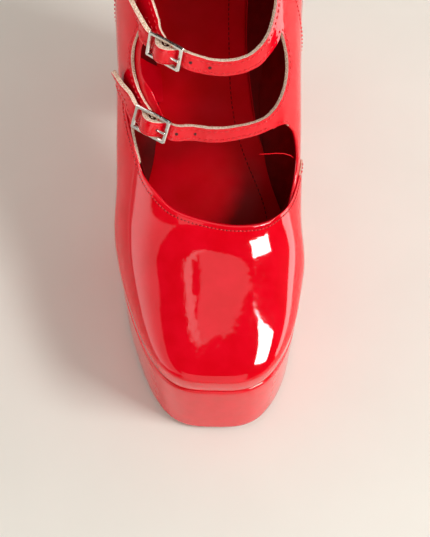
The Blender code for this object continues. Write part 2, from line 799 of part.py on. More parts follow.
def add_prong(name, frame, collection, radius):
    """The prong, from beside the middle bar through the strap to the end bar."""
    reach = BUCKLE_LENGTH / 2
    top = BUCKLE_THICK / 2 + GAP + PRONG_RADIUS
    start = BUCKLE_BAR / 2 + GAP + PRONG_RADIUS
    route = ((start, 0.1), (start + 1.2, 0.7), (start + 3.2, top), (reach - 0.3, top))
    curve = bpy.data.curves.new(name, "CURVE")
    curve.dimensions = "3D"
    curve.bevel_depth = radius
    curve.bevel_resolution = 2
    curve.use_fill_caps = True
    line = curve.splines.new("POLY")
    line.points.add(len(route) - 1)
    for point, (a, h) in zip(line.points, route):
        point.co = (a, 0, h, 1)
    made = add_object(name, curve_mesh(curve, name), collection, SILVER)
    place(made, *frame)
    shade(made)
    return made


# ---------------------------------------------------------------- the boot
def build():
    for old in list(bpy.data.objects):
        bpy.data.objects.remove(old, do_unlink=True)
    scene = bpy.context.scene
    boot = bpy.data.collections.new("platform_ankle_boot")
    cutters = bpy.data.collections.new("cutters")
    scene.collection.children.link(boot)
    scene.collection.children.link(cutters)

    add_platform(boot)
    add_outsole(boot, cutters)
    add_heel(boot)
    add_insole(boot)
    add_upper(boot, cutters)
    sets = (
        ("front", STRAP_FRONT_LEAD, STRAP_FRONT_TAIL, STRAP_FRONT_AXIS, BUCKLE_FRONT),
        ("rear", STRAP_REAR_LEAD, STRAP_REAR_TAIL, STRAP_REAR_AXIS, BUCKLE_REAR),
    )
    for place_name, lead, tail, axis_s, spot in sets:
        frame = buckle_frame(spot, axis_s)
        strap = add_strap("strap_" + place_name, lead, tail, axis_s, frame, boot)
        add_buckle("buckle_" + place_name, frame, boot)
        add_prong("prong_" + place_name, frame, boot, PRONG_RADIUS)
        hole = add_prong("prong_hole_" + place_name, frame, cutters, PRONG_RADIUS + GAP)
        hole.hide_render = True
        hole.display_type = "WIRE"
        cut(strap, hole)
        apply_modifiers(strap)
        shade(strap)


build()
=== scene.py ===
"""Looks of the right-foot platform ankle boot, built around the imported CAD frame.

Tables are in the boot's own millimetres: s forward from the back of the heel,
x towards the inner side, z up from the floor.  `frame_mm` turns them into the
row frame (x inner, y backwards, z up), still in millimetres.
"""

import math

import bmesh
import bpy
import numpy as np
from mathutils import Matrix, Vector


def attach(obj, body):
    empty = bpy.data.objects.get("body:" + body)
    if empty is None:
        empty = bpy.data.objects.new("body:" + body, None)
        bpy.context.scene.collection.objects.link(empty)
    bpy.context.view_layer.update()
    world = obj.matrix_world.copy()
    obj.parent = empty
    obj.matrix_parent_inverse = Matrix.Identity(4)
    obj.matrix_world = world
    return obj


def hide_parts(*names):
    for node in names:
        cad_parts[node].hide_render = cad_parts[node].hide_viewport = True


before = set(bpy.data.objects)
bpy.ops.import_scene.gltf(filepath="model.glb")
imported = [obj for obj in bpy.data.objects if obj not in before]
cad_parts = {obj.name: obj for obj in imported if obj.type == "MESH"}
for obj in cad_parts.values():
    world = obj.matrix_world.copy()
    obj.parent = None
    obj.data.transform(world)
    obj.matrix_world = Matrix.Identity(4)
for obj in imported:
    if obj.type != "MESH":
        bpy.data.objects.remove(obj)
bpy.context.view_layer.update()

MM = 0.001
ORIGIN = np.array([0.6, 114.5, 0.0])
FLIP = np.array([1.0, -1.0, 1.0])
rng = np.random.default_rng(7)

# ---- form of the last
FEATHER = (
    # s, z
    (-10, 119.5), (0, 118), (25, 115), (50, 107.5), (75, 94), (100, 75),
    (122, 57.5), (140, 47.5), (158, 43), (185, 42), (210, 43.8), (232, 46.3),
)
FOOT = (
    # s, half width, centre x, crest z, side power, crest power, bulge, lower
    (0, 31.0, 0.0, 150, 2.2, 2.2, 20, 42),
    (40, 34.5, -0.3, 160, 2.2, 2.2, 24, 40),
    (60, 37.3, -0.6, 178, 2.2, 2.2, 29, 38),
    (80, 39.2, -0.9, 178, 2.25, 2.2, 34, 38),
    (100, 40.4, -0.7, 166, 2.3, 2.25, 32, 36),
    (115, 41.2, 0.0, 150, 2.35, 2.3, 29, 34),
    (129, 42.0, 0.3, 131, 2.35, 2.3, 24, 31),
    (142.5, 42.5, 0.2, 111, 2.35, 2.25, 17, 30),
    (157, 43.3, 0.1, 95.5, 2.35, 2.2, 12, 32),
    (170, 42.8, 1.6, 83, 2.4, 2.3, 11, 34),
    (185, 39.9, 2.6, 75.5, 2.5, 2.4, 11, 34),
    (200, 35.9, 3.8, 70.5, 2.6, 2.4, 11, 34),
    (215, 31.6, 4.4, 66.5, 2.6, 2.4, 11, 34),
    (232, 27.5, 4.6, 62.0, 2.6, 2.4, 11, 34),
)
LEG = (
    # z, back s, front s, half width, power
    (90, 10, 80, 20, 2.3),
    (115, 3, 92, 28, 2.3),
    (135, -1, 98, 34, 2.3),
    (150, -1, 100, 36.5, 2.3),
    (170, 2, 99, 37.5, 2.25),
    (190, 6, 95, 37.3, 2.2),
    (215, 9, 92, 37, 2.15),
    (240, 9, 92, 38, 2.1),
)
FRONT = (
    # level, origin s, origin z, direction in degrees above forward
    (0.00, 190, 46.2, 0),
    (0.12, 196, 47, 25),
    (0.22, 190, 48, 60),
    (0.34, 172, 52, 72),
    (0.50, 145, 66, 52),
    (0.66, 118, 95, 36),
    (0.82, 90, 135, 22),
    (1.00, 60, 202, 2),
)
FOOT_POWER = 2.2
LEG_CENTRE = -0.8
HEEL_START, HEEL_LENGTH = 40.0, 38.5
TOE_START, TOE_LENGTH, TOE_POWER = 190.0, 42.0, 3.3
BLEND, HEEL_BLEND = 9.0, 2.0
BACK_BOTTOM, BACK_TOP = 118.0, 204.0


def spline(rows, column):
    """A natural cubic spline through one column of a table."""
    xs = np.array([row[0] for row in rows], float)
    ys = np.array([row[column] for row in rows], float)
    count = len(xs)
    step = np.diff(xs)
    system = np.eye(count)
    right = np.zeros(count)
    for i in range(1, count - 1):
        system[i, i - 1:i + 2] = step[i - 1], 2 * (step[i - 1] + step[i]), step[i]
        right[i] = 6 * ((ys[i + 1] - ys[i]) / step[i] - (ys[i] - ys[i - 1]) / step[i - 1])
    bend = np.linalg.solve(system, right)
    slope = np.diff(ys) / step - step * (2 * bend[:-1] + bend[1:]) / 6
    end_slope = slope[-1] + step[-1] * (bend[-2] + bend[-1]) / 2

    def value(x):
        inside = np.clip(x, xs[0], xs[-1])
        i = np.clip(np.searchsorted(xs, inside, side="right") - 1, 0, count - 2)
        d = inside - xs[i]
        curve = ys[i] + slope[i] * d + bend[i] / 2 * d ** 2
        curve = curve + (bend[i + 1] - bend[i]) / (6 * step[i]) * d ** 3
        before = np.minimum(x - xs[0], 0) * slope[0]
        after = np.maximum(x - xs[-1], 0) * end_slope
        return curve + before + after

    return value


def splines(rows):
    """A spline for every column of a table after its first."""
    return [spline(rows, i) for i in range(1, len(rows[0]))]


(feather,) = splines(FEATHER)
foot_splines, leg_splines, front_splines = splines(FOOT), splines(LEG), splines(FRONT)
foot_centre = foot_splines[1]


def smoothstep(low, high, value):
    """0 below low, 1 above high, smooth between."""
    share = np.clip((value - low) / (high - low), 0, 1)
    return share * share * (3 - 2 * share)


def foot_field(x, s, z):
    """Below zero inside the foot's form, in rough millimetres."""
    width, centre, crest, side, top, bulge, lower = foot_splines
    half = np.maximum(width(s), 8)
    widest = feather(s) + bulge(s)
    height = np.maximum(crest(s) - widest, 5)
    sideways = np.abs(x - centre(s)) / half
    toe = np.maximum(s - TOE_START, 0) / TOE_LENGTH
    heel = np.maximum(HEEL_START - s, 0) / HEEL_LENGTH
    across = np.where(
        s > HEEL_START,
        (sideways ** TOE_POWER + toe ** TOE_POWER) ** (1 / TOE_POWER),
        (sideways ** FOOT_POWER + heel ** FOOT_POWER) ** (1 / FOOT_POWER),
    )
    rise = z - widest
    upward = np.where(rise > 0, rise / height, -rise / lower(s))
    reach = (across ** side(s) + upward ** top(s)) ** (1 / FOOT_POWER)
    return (reach - 1) * np.minimum(half, height)


def leg_field(x, s, z):
    """Below zero inside the leg's form, in rough millimetres."""
    back, front, width, power = leg_splines
    middle = (back(z) + front(z)) / 2
    depth = np.maximum((front(z) - back(z)) / 2, 8)
    half = np.maximum(width(z), 8)
    reach = (np.abs(x - LEG_CENTRE) / half) ** power(z) + (np.abs(s - middle) / depth) ** power(z)
    return (reach ** (1 / power(z)) - 1) * half


def field(point):
    """The form's surface is where this is zero."""
    x, s, z = point[..., 0], point[..., 1], point[..., 2]
    foot = foot_field(x, s, z)
    leg = leg_field(x, s, z)
    least = np.minimum(foot, leg)
    blend = HEEL_BLEND + (BLEND - HEEL_BLEND) * smoothstep(15, 65, s)
    return least - blend * np.log(np.exp((least - foot) / blend) + np.exp((least - leg) / blend))


def bisect(near, far, outside, halvings):
    """Distance between near and far at which a test turns true."""
    for _ in range(halvings):
        middle = (near + far) / 2
        out = outside(middle)
        near, far = np.where(out, near, middle), np.where(out, middle, far)
    return (near + far) / 2


def surface(origin, direction, reach=160.0, steps=80):
    """First point where rays from inside the form leave it."""
    distance = np.linspace(0, reach, steps)
    samples = origin[..., None, :] + direction[..., None, :] * distance[:, None]
    outside = field(samples) > 0
    index = np.where(outside.any(-1), outside.argmax(-1), steps - 1)
    near, far = distance[np.maximum(index - 1, 0)], distance[index]
    found = bisect(near, far, lambda d: field(origin + direction * d[..., None]) > 0, 30)
    return origin + direction * found[..., None]


def differences(function, points, step):
    """Change of a function of places over two steps along each axis."""
    return np.stack([function(points + d) - function(points - d) for d in np.eye(3) * step], -1)


def unit(vectors):
    """Vectors of length one."""
    vectors = np.asarray(vectors, float)
    return vectors / np.maximum(np.linalg.norm(vectors, axis=-1, keepdims=True), 1e-9)


def normal(point):
    """Unit vector out of the form."""
    return unit(differences(field, point, 0.05))


def half_width(s, z, side):
    """x of the form's surface at a place in the side view; side is +1 or -1."""
    centre = foot_centre(s)
    near = np.zeros(np.shape(s))
    found = bisect(near, near + 60.0, lambda d: field(np.stack([centre + side * d, s, z], -1)) > 0, 26)
    return centre + side * found


def front_profile(level):
    """Points (s, z) of the upper's front middle line."""
    origin_s, origin_z, angle = (value(level) for value in front_splines)
    angle = np.radians(angle)
    origin = np.stack([foot_centre(origin_s), origin_s, origin_z], -1)
    direction = np.stack([0 * angle, np.cos(angle), np.sin(angle)], -1)
    return surface(origin, direction)[..., 1:]


def back_profile(level):
    """Points (s, z) of the heel's back line."""
    z = BACK_BOTTOM + (BACK_TOP - BACK_BOTTOM) * level
    origin = np.stack([0 * z, 40 + 0 * z, z], -1)
    direction = np.zeros(origin.shape)
    direction[..., 1] = -1
    return surface(origin, direction)[..., 1:]


def upper_rings(levels, around):
    """Rings of the upper's outer surface, from the feather seam to the collar."""
    front = front_profile(levels)[:, None, :]
    back = back_profile(levels)[:, None, :]
    turn = np.linspace(0, 2 * math.pi, around, endpoint=False)
    share = ((1 - np.cos(turn)) / 2)[None, :, None]
    line = back + (front - back) * share
    s = line[..., 0]
    rise_back = (back[..., 1] - feather(back[..., 0])) * (levels[:, None] > 0)
    rise_front = (front[..., 1] - feather(front[..., 0])) * (levels[:, None] > 0)
    along_seam = feather(s) + rise_back + (rise_front - rise_back) * share[..., 0]
    straight = smoothstep(0, 0.4, levels)[:, None]
    z = along_seam + (line[..., 1] - along_seam) * straight
    inner = half_width(s, z, 1.0)
    outer = half_width(s, z, -1.0)
    return np.stack([np.where(turn < math.pi, inner, outer), s, z], -1)


def frame_mm(points):
    """Table points in the row frame, in millimetres."""
    return (np.asarray(points, float) - ORIGIN) * FLIP


def table_mm(points):
    """Row-frame points in table coordinates."""
    return np.asarray(points) * FLIP + ORIGIN


def frame_turn(vectors):
    """Table directions in the row frame."""
    return np.asarray(vectors, float) * FLIP


# ---- lines and outlines
def travelled(points):
    """Distance along a line of points up to each of them."""
    return np.concatenate([[0], np.cumsum(np.linalg.norm(np.diff(points, axis=0), axis=1))])


def at_place(x, xs, rows):
    """Rows of a table at places between its own."""
    return np.stack([np.interp(x, xs, column) for column in rows.T], -1)


def run(points, step=0.8):
    """A smooth line through a few points, as closely spaced ones."""
    points = np.array(points, float)
    along = travelled(points)
    at = np.linspace(0, along[-1], max(int(along[-1] / step), 2))
    return np.stack([value(at) for value in splines(np.column_stack([along, points]))], -1)


def signed(first, second, outline):
    """Distance from points to a closed outline, below zero inside it."""
    inside = np.zeros(first.shape, bool)
    best = np.full(first.shape, 1e9)
    for (ax, ay), (bx, by) in zip(outline, np.roll(outline, -1, 0)):
        ex, ey = bx - ax, by - ay
        share = np.clip(((first - ax) * ex + (second - ay) * ey) / (ex * ex + ey * ey + 1e-12), 0, 1)
        best = np.minimum(best, np.hypot(first - ax - share * ex, second - ay - share * ey))
        if ay != by:
            crosses = ((ay > second) != (by > second)) & (first < ax + (second - ay) * ex / ey)
            inside ^= crosses
    return np.where(inside, -best, best)


THROAT_LOW_S, THROAT_LOW_Z, INSTEP_SLOPE = 170.0, 83.0, math.radians(50.0)
THROAT_DEPTH = 24.0


def instep_view(points):
    """x, distance up the instep, and depth of points seen square to the instep."""
    ds, dz = points[..., 1] - THROAT_LOW_S, points[..., 2] - THROAT_LOW_Z
    up = dz * math.sin(INSTEP_SLOPE) - ds * math.cos(INSTEP_SLOPE)
    depth = ds * math.sin(INSTEP_SLOPE) + dz * math.cos(INSTEP_SLOPE)
    return points[..., 0], up, depth


# ---- strap frames
STRAP_WIDTH = 7.0
STRAP_HALF = 0.95          # half of a strap's thickness
BUCKLE_LENGTH, BUCKLE_WIDTH, BUCKLE_BAR, BUCKLE_THICK = 17.0, 11.5, 1.7, 1.6
# Straps by angle about an upright axis; see the names of the columns.
FRONT_STRAP = dict(
    axis=100.0,
    lead=(
        # angle, z, stand, lean, width
        (45.3, 113.0, -1.0, 4, 9.5), (38.0, 112.8, -1.0, 8, 7.6), (28.0, 112.6, -0.8, 12, 7.0),
        (14.0, 111.9, -0.9, 18, 7.0), (0.0, 111.4, -1.0, 24, 7.0), (-11.0, 111.8, -0.7, 28, 7.0),
    ),
    tail=(
        (-50.0, 116.6, 1.5, 14, 7.0), (-57.0, 118.0, 2.1, 20, 7.0),
        (-64.0, 119.2, 2.8, 24, 6.4), (-67.5, 119.6, 3.4, 26, 3.4),
    ),
    buckle_place=(-32.1, 112.8, 3.25, -6.0, 6.0, 2.5),
    root=(34.0, 22.0),
)
REAR_STRAP = dict(
    axis=90.0,
    lead=(
        (47.6, 142.6, -1.0, 6, 5.6), (42.0, 140.2, -0.9, 14, 6.8), (31.5, 137.4, -0.4, 20, 7.0),
        (19.0, 135.8, 0.1, 22, 7.0), (4.0, 135.8, 0.8, 22, 7.0), (-6.5, 136.9, 1.7, 20, 7.0),
    ),
    tail=(
        (-46.0, 143.8, 1.5, 26, 7.0), (-52.0, 147.0, 2.1, 40, 7.0),
        (-59.0, 150.6, 2.8, 46, 6.4), (-63.0, 152.6, 3.4, 46, 3.4),
    ),
    buckle_place=(-28.8, 139.9, 3.2, -9.5, 16.0, 12.0),
    root=(28.0, 17.0),
)
BUCKLE_ROUTE = (
    # along, height over the buckle's middle plane
    (8.6, -2.3), (7.2, -2.3), (5.1, -1.3), (4.0, 0.2), (2.9, 1.65),
    (1.6, 2.75), (0.0, 3.2), (-1.6, 2.75), (-2.9, 1.65), (-4.0, 0.2), (-5.1, -1.3),
    (-7.2, -2.35), (-8.9, -2.5),
)
JOINT_MARK = 0.6           # marks past the lead at which a strap's two meshes meet


def around_point(axis_s, angle, z):
    """Place on the upper at an angle about the upright axis."""
    turn = math.radians(angle)
    return surface(np.array([0.0, axis_s, z]), np.array([math.sin(turn), math.cos(turn), 0.0]))


def buckle_axes(strap):
    """Centre and axes of a buckle: along, across, facing."""
    angle, z, stand, yaw, lean, pitch = strap["buckle_place"]
    yaw, lean, pitch = (math.radians(v) for v in (yaw, lean, pitch))
    foot = around_point(strap["axis"], angle, z)
    outward = normal(foot)
    level = unit(np.cross((0.0, 0.0, 1.0), outward))
    level *= np.sign(level[0])
    upward = np.cross(outward, level)
    upward *= np.sign(upward[2])
    along = level * math.cos(yaw) + upward * math.sin(yaw)
    across = upward * math.cos(yaw) - level * math.sin(yaw)
    along, facing = (along * math.cos(pitch) + outward * math.sin(pitch),
                     outward * math.cos(pitch) - along * math.sin(pitch))
    tilted = across * math.cos(lean) + facing * math.sin(lean)
    facing = facing * math.cos(lean) - across * math.sin(lean)
    return foot + outward * stand, along, tilted, facing


def strap_frames(strap, first, last, count):
    """Middle line, unit width direction and width from one mark to another."""
    centre, frame_along, frame_across, facing = strap["buckle"]

    def on_upper(rows):
        feet = [around_point(strap["axis"], angle, z) for angle, z, *_ in rows]
        return [(foot + normal(foot) * stand, normal(foot), lean, width)
                for foot, (_, _, stand, lean, width) in zip(feet, rows)]

    marks = on_upper(strap["lead"])
    marks += [(centre + frame_along * a + facing * h, facing, None, STRAP_WIDTH) for a, h in BUCKLE_ROUTE]
    marks += on_upper(strap["tail"])
    line = np.array([mark[0] for mark in marks])
    across = []
    for (_, outward, lean, _), forward in zip(marks, np.gradient(line, axis=0)):
        if lean is None:
            across.append(frame_across)
            continue
        side = unit(np.cross(outward, forward))
        side *= math.copysign(1, side[2])
        turn = math.radians(lean)
        across.append(side * math.cos(turn) + outward * math.sin(turn))
    inner, outer = len(strap["lead"]) - 1, len(marks) - len(strap["tail"])
    across[inner] = unit(across[inner - 1] + frame_across)
    across[outer] = unit(across[outer + 1] + frame_across)
    length = travelled(line)
    table = splines([(d, *p, *v, mark[3]) for d, p, v, mark in zip(length, line, across, marks)])
    places = np.interp(np.linspace(first, last, count), np.arange(len(marks)), length)
    smooth, ahead = (np.stack([value(places + d) for value in table[:3]], -1) for d in (0, 0.1))
    direction = np.stack([value(places) for value in table[3:6]], -1)
    forward = unit(ahead - smooth)
    direction = unit(direction - forward * (forward * direction).sum(1, keepdims=True))
    return smooth, direction, table[6](places)


# ---- meshes
def add_object(name, data):
    """An object in the scene."""
    made = bpy.data.objects.new(name, data)
    bpy.context.scene.collection.objects.link(made)
    return made


def add_mesh(name, vertices, faces, materials, indices=None, normals=None, sharp=None):
    """A piece from row-frame millimetres, faces and a material index for each face."""
    mesh = bpy.data.meshes.new(name)
    mesh.from_pydata([tuple(v) for v in np.asarray(vertices) * MM], [], faces)
    for item in materials:
        mesh.materials.append(item)
    if indices is not None:
        mesh.polygons.foreach_set("material_index", np.asarray(indices, np.int32))
    mesh.polygons.foreach_set("use_smooth", np.ones(len(mesh.polygons), bool))
    made = add_object(name, mesh)
    if sharp is not None:
        mesh.set_sharp_from_angle(angle=math.radians(sharp))
    if normals is not None:
        mesh.normals_split_custom_set([tuple(n) for n in normals])
    return made


def finish_piece(made, slot, *nodes):
    """Make a piece ride on the boot and hide the parts of the model that it stands for; its slot is not
    used.
    """
    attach(made, "root")
    if nodes:
        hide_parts(*nodes)
    return made


def closed_piece(name, vertices, faces, materials, slot, *nodes, indices=None, sharp=None):
    """A finished piece with its faces turned outwards."""
    made = add_mesh(name, vertices, faces, materials, indices, sharp=sharp)
    work = bmesh.new()
    work.from_mesh(made.data)
    bmesh.ops.recalc_face_normals(work, faces=work.faces)
    work.to_mesh(made.data)
    work.free()
    return finish_piece(made, slot, *nodes)


CLOSEST = 0.02             # least share of a grid step between a trimmed edge and a grid point


def clip(quads, values, columns):
    """The part of a quad grid where values are below zero, and its new points."""
    inside = values < 0
    kept = inside[quads]
    faces = [tuple(q) for q in quads[kept.all(1)].tolist()]
    mixed = quads[kept.any(1) & ~kept.all(1)]
    new_rows, lookup = [], {}
    count = len(values)

    def crossing(a, b):
        key = (min(a, b), max(a, b))
        if key not in lookup:
            share = values[key[0]] / (values[key[0]] - values[key[1]])
            lookup[key] = count + len(new_rows)
            new_rows.append((key[0], key[1], min(max(share, CLOSEST), 1 - CLOSEST)))
        return lookup[key]

    for a, b, c, d in mixed.tolist():
        for triangle in ((a, b, c), (a, c, d)):
            ring = []
            for i in range(3):
                p, q = triangle[i], triangle[(i + 1) % 3]
                if inside[p]:
                    ring.append(p)
                if inside[p] != inside[q]:
                    ring.append(crossing(p, q))
            if len(ring) >= 3:
                faces.append(tuple(ring))
    rows = np.array(new_rows).reshape(-1, 3)
    low, high, share = rows[:, 0].astype(int), rows[:, 1].astype(int), rows[:, 2:]
    columns = np.concatenate([columns, columns[low] * (1 - share) + columns[high] * share])
    return faces, columns


def boundary_loops(faces):
    """Closed loops of edges that have one face, in those faces' direction."""
    used = dict.fromkeys((a, b) for face in faces for a, b in zip(face, face[1:] + face[:1]))
    follow = {}
    for a, b in used:
        if (b, a) not in used:
            follow.setdefault(a, []).append(b)
    loops = []
    while follow:
        start = next(iter(follow))
        loop, at = [], start
        while at in follow:
            loop.append(at)
            ahead = follow[at].pop()
            if not follow[at]:
                del follow[at]
            at = ahead
            if at == start:
                break
        loops.append(np.array(loop))
    return loops


# Edge profiles: height as a share of the half thickness, reach outwards in mm.
RAW_PROFILE = ((1, 0), (0.9, 0.10), (0.52, 0.15), (0.1, 0.13), (-0.4, 0.16), (-0.92, 0.08), (-1, 0))
ROLL_STEPS = len(RAW_PROFILE) - 1
RAW_MATERIALS, ROLL_MATERIALS = (0, 2, 3, 3, 3, 1), (0, 0, 0, 0, 1, 1)
FUZZ = 0.07                # roughness of a cut edge


def smooth_loop(points, passes):
    """A closed loop of points with its small steps evened out."""
    for _ in range(passes):
        points = (np.roll(points, 1, 0) + 2 * points + np.roll(points, -1, 0)) / 4
    return points


def largest_part(faces):
    """The faces of the biggest connected piece."""
    root = list(range(1 + max(max(face) for face in faces)))

    def find(i):
        while root[i] != i:
            root[i] = root[root[i]]
            i = root[i]
        return i

    for face in faces:
        for i in face[1:]:
            root[find(i)] = find(face[0])
    owner = [find(face[0]) for face in faces]
    biggest = max(set(owner), key=owner.count)
    return [face for face, one in zip(faces, owner) if one == biggest]


def sheet(name, grid, values, rolled, slot="red_patent", nodes=("upper",), materials=None):
    """A closed shell of leather: a trimmed grid with thickness and finished edges.

    grid holds rows x around x (middle, normal, half thickness); values are below
    zero on the leather; rolled gives 1 where an edge is folded over and 0 where it
    is cut.  Returns the lines of the shell's edges.
    """
    rows, around = grid.shape[:2]
    index = np.arange(rows * around).reshape(rows, around)
    ahead = np.roll(index, -1, 1)
    quads = np.stack([index[:-1], ahead[:-1], ahead[1:], index[1:]], -1).reshape(-1, 4)
    faces, columns = clip(quads, values.ravel(), grid.reshape(-1, 7))
    faces = largest_part(faces)
    used, inverse = np.unique(np.concatenate(faces), return_inverse=True)
    columns = columns[used]
    ends = np.cumsum([len(f) for f in faces])[:-1]
    faces = [tuple(f.tolist()) for f in np.split(inverse, ends)]
    middle, upright, half = columns[:, :3], unit(columns[:, 3:6]), columns[:, 6:7]
    sample = list(faces[len(faces) // 2])
    a, b, c = middle[sample[:3]]
    if np.dot(np.cross(b - a, c - a), upright[sample[0]]) < 0:
        faces = [f[::-1] for f in faces]
    count = len(middle)
    vertices = [middle + upright * half, middle - upright * half]
    out_faces = list(faces) + [tuple(i + count for i in f[::-1]) for f in faces]
    indices = [0] * len(faces) + [1] * len(faces)
    normals = [upright[list(f)] for f in faces] + [-upright[list(f[::-1])] for f in faces]
    made_loops, offset = [], 2 * count
    for loop in boundary_loops(faces):
        centre, up, thick = middle[loop], upright[loop], half[loop]
        even = smooth_loop(centre, 6)
        tangent = unit(np.roll(even, -2, 0) - np.roll(even, 2, 0))
        outward = unit(np.cross(tangent, up))
        roll = smooth_loop(rolled(table_mm(centre))[:, None], 3)
        fuzz = smooth_loop(rng.normal(0, 1, (len(loop), ROLL_STEPS + 1)), 1) * FUZZ
        rings, ring_normals = [loop], [up]
        for k in range(1, ROLL_STEPS):
            turn = math.pi * k / ROLL_STEPS
            share, reach = RAW_PROFILE[k]
            high = roll * math.cos(turn) + (1 - roll) * share
            wide = roll * math.sin(turn) * thick + (1 - roll) * (reach + fuzz[:, k:k + 1])
            vertices.append(centre + up * high * thick + outward * wide)
            rings.append(np.arange(offset, offset + len(loop)))
            offset += len(loop)
            folded = up * math.cos(turn) + outward * math.sin(turn)
            ring_normals.append(unit(folded * roll + outward * (1 - roll)))
        rings.append(loop + count)
        ring_normals.append(-up)
        edge_normals = [unit(one * roll + outward * (1 - roll)) for one in ring_normals]
        for k in range(ROLL_STEPS):
            for i in range(len(loop)):
                j = (i + 1) % len(loop)
                corners = (k, j), (k, i), (k + 1, i), (k + 1, j)
                out_faces.append(tuple(rings[a][b] for a, b in corners))
                normals.append([edge_normals[a][b] for a, b in corners])
                indices.append((ROLL_MATERIALS if roll[i, 0] > 0.5 else RAW_MATERIALS)[k])
        made_loops.append(dict(points=centre, up=up, half=thick, out=outward, roll=roll[:, 0]))
    normals = np.concatenate(normals)
    made = add_mesh(name, np.concatenate(vertices), out_faces, materials or LEATHER, indices, normals)
    finish_piece(made, slot, *nodes)
    return made_loops


def tube_faces(count, around):
    """Quads between rings of points, without the ends."""
    return [(i + j, i + (j + 1) % around, i + around + (j + 1) % around, i + around + j)
            for i in range(0, (count - 1) * around, around) for j in range(around)]


def sweep_tube(rings):
    """Vertices and faces of a closed tube from rings x points, ends filled."""
    rings = np.array(rings)
    count, around = rings.shape[:2]
    first, last = tuple(range(around)), tuple(range((count - 1) * around, count * around))
    return rings.reshape(-1, 3), [first[::-1], *tube_faces(count, around), last]


def circle(centre, first, second, radius, sides):
    """Points round a circle spanned by two directions."""
    turns = np.linspace(0, 2 * math.pi, sides, endpoint=False)[:, None]
    return centre + (first * np.cos(turns) + second * np.sin(turns)) * radius


class Batch:
    """Gathers many small closed shapes into one mesh."""

    def __init__(self):
        self.vertices, self.faces, self.count = [], [], 0

    def add(self, vertices, faces):
        self.vertices.append(vertices)
        self.faces += [tuple(i + self.count for i in face) for face in faces]
        self.count += len(vertices)

    def make(self, name, material, slot, sharp=None):
        return closed_piece(name, np.concatenate(self.vertices), self.faces, [material], slot, sharp=sharp)


THREAD, THICK_THREAD = 0.26, 0.36      # radii of stitches
STITCH_SIDES, STITCH_ARCH, STITCH_DIP, STITCH_TAPER = 6, 0.16, 0.42, 0.45
STITCH_SHARE = 0.66        # how much of the pitch is thread
# Distance from the leather's edge and pitch of the rows of stitches.
PLAIN_ROW, FOLD_ROW, WING_ROW = (1.3, 2.4), (1.35, 1.7), (1.5, 1.9)
SHORTEST = 6               # edge points under a row of stitches, at least
# Rings of a dark dimple in the leather; its dark colour paints the shade inside a needle hole.
NEEDLE_HOLE = (
    # height, radius
    (-0.25, 0.25), (0.03, 0.25), (0.04, 0.12),
)
PUNCHED_HOLE = ((-0.3, 0.72), (0.03, 0.72), (0.03, 0.4))
seams, insole_seams, needle_holes, holes = Batch(), Batch(), Batch(), Batch()


def add_hole(batch, profile, middle, side, other, up, sides):
    """A small dark disc set into the leather: painted shade where a hole goes in."""
    batch.add(*sweep_tube([
        circle(middle + up * high, side, other, radius, sides) for high, radius in profile
    ]))


def add_stitch(batch, middle, along, up, length, thread):
    """One stitch: a short arched thread whose ends go into the leather."""
    side = np.cross(along, up)
    rings = []
    for share in (-1, -0.72, 0, 0.72, 1):
        centre = middle + along * share * length / 2 + up * (STITCH_ARCH - STITCH_DIP * abs(share) ** 3)
        rings.append(circle(centre, side, up, thread * (1 - STITCH_TAPER * abs(share) ** 4), STITCH_SIDES))
    batch.add(*sweep_tube(rings))


def stitch_line(batch, points, ups, pitch, thread=THREAD):
    """Stitches along an open line of surface points; a thick thread shows its holes."""
    along = travelled(points)
    for at in np.arange(pitch * 0.6, along[-1] - pitch * 0.5, pitch):
        before, middle, after = (at_place(at + d, along, points) for d in (-0.4, 0, 0.4))
        up = unit(at_place(at, along, ups))
        forward = unit(after - before)
        add_stitch(batch, middle, forward, up, pitch * STITCH_SHARE, thread)
        if thread > THREAD:
            hole = middle + forward * pitch / 2
            add_hole(needle_holes, NEEDLE_HOLE, hole, np.cross(forward, up), forward, up, 8)


def stitch_loop(loop, row, wanted, thread=THREAD):
    """Stitches beside the stretches of a shell's edge where wanted is true."""
    inset, pitch = row
    line = smooth_loop(loop["points"] + loop["up"] * loop["half"] - loop["out"] * inset, 3)
    mask = wanted(table_mm(loop["points"]), loop["roll"])
    order = np.roll(np.arange(len(mask)), -int(np.argmin(mask)))
    for piece in np.split(order, np.flatnonzero(np.diff(mask[order])) + 1):
        if mask[piece[0]] and len(piece) > SHORTEST:
            stitch_line(seams, line[piece], loop["up"][piece], pitch, thread)


# ---- materials
def add_node(tree, kind, inputs, **settings):
    """A shader node: values or links for its inputs, and its own settings."""
    made = tree.nodes.new("ShaderNode" + kind)
    for key, value in settings.items():
        setattr(made, key, value)
    for key, value in inputs.items():
        if isinstance(value, bpy.types.NodeSocket):
            tree.links.new(value, made.inputs[key])
        else:
            made.inputs[key].default_value = value
    return made


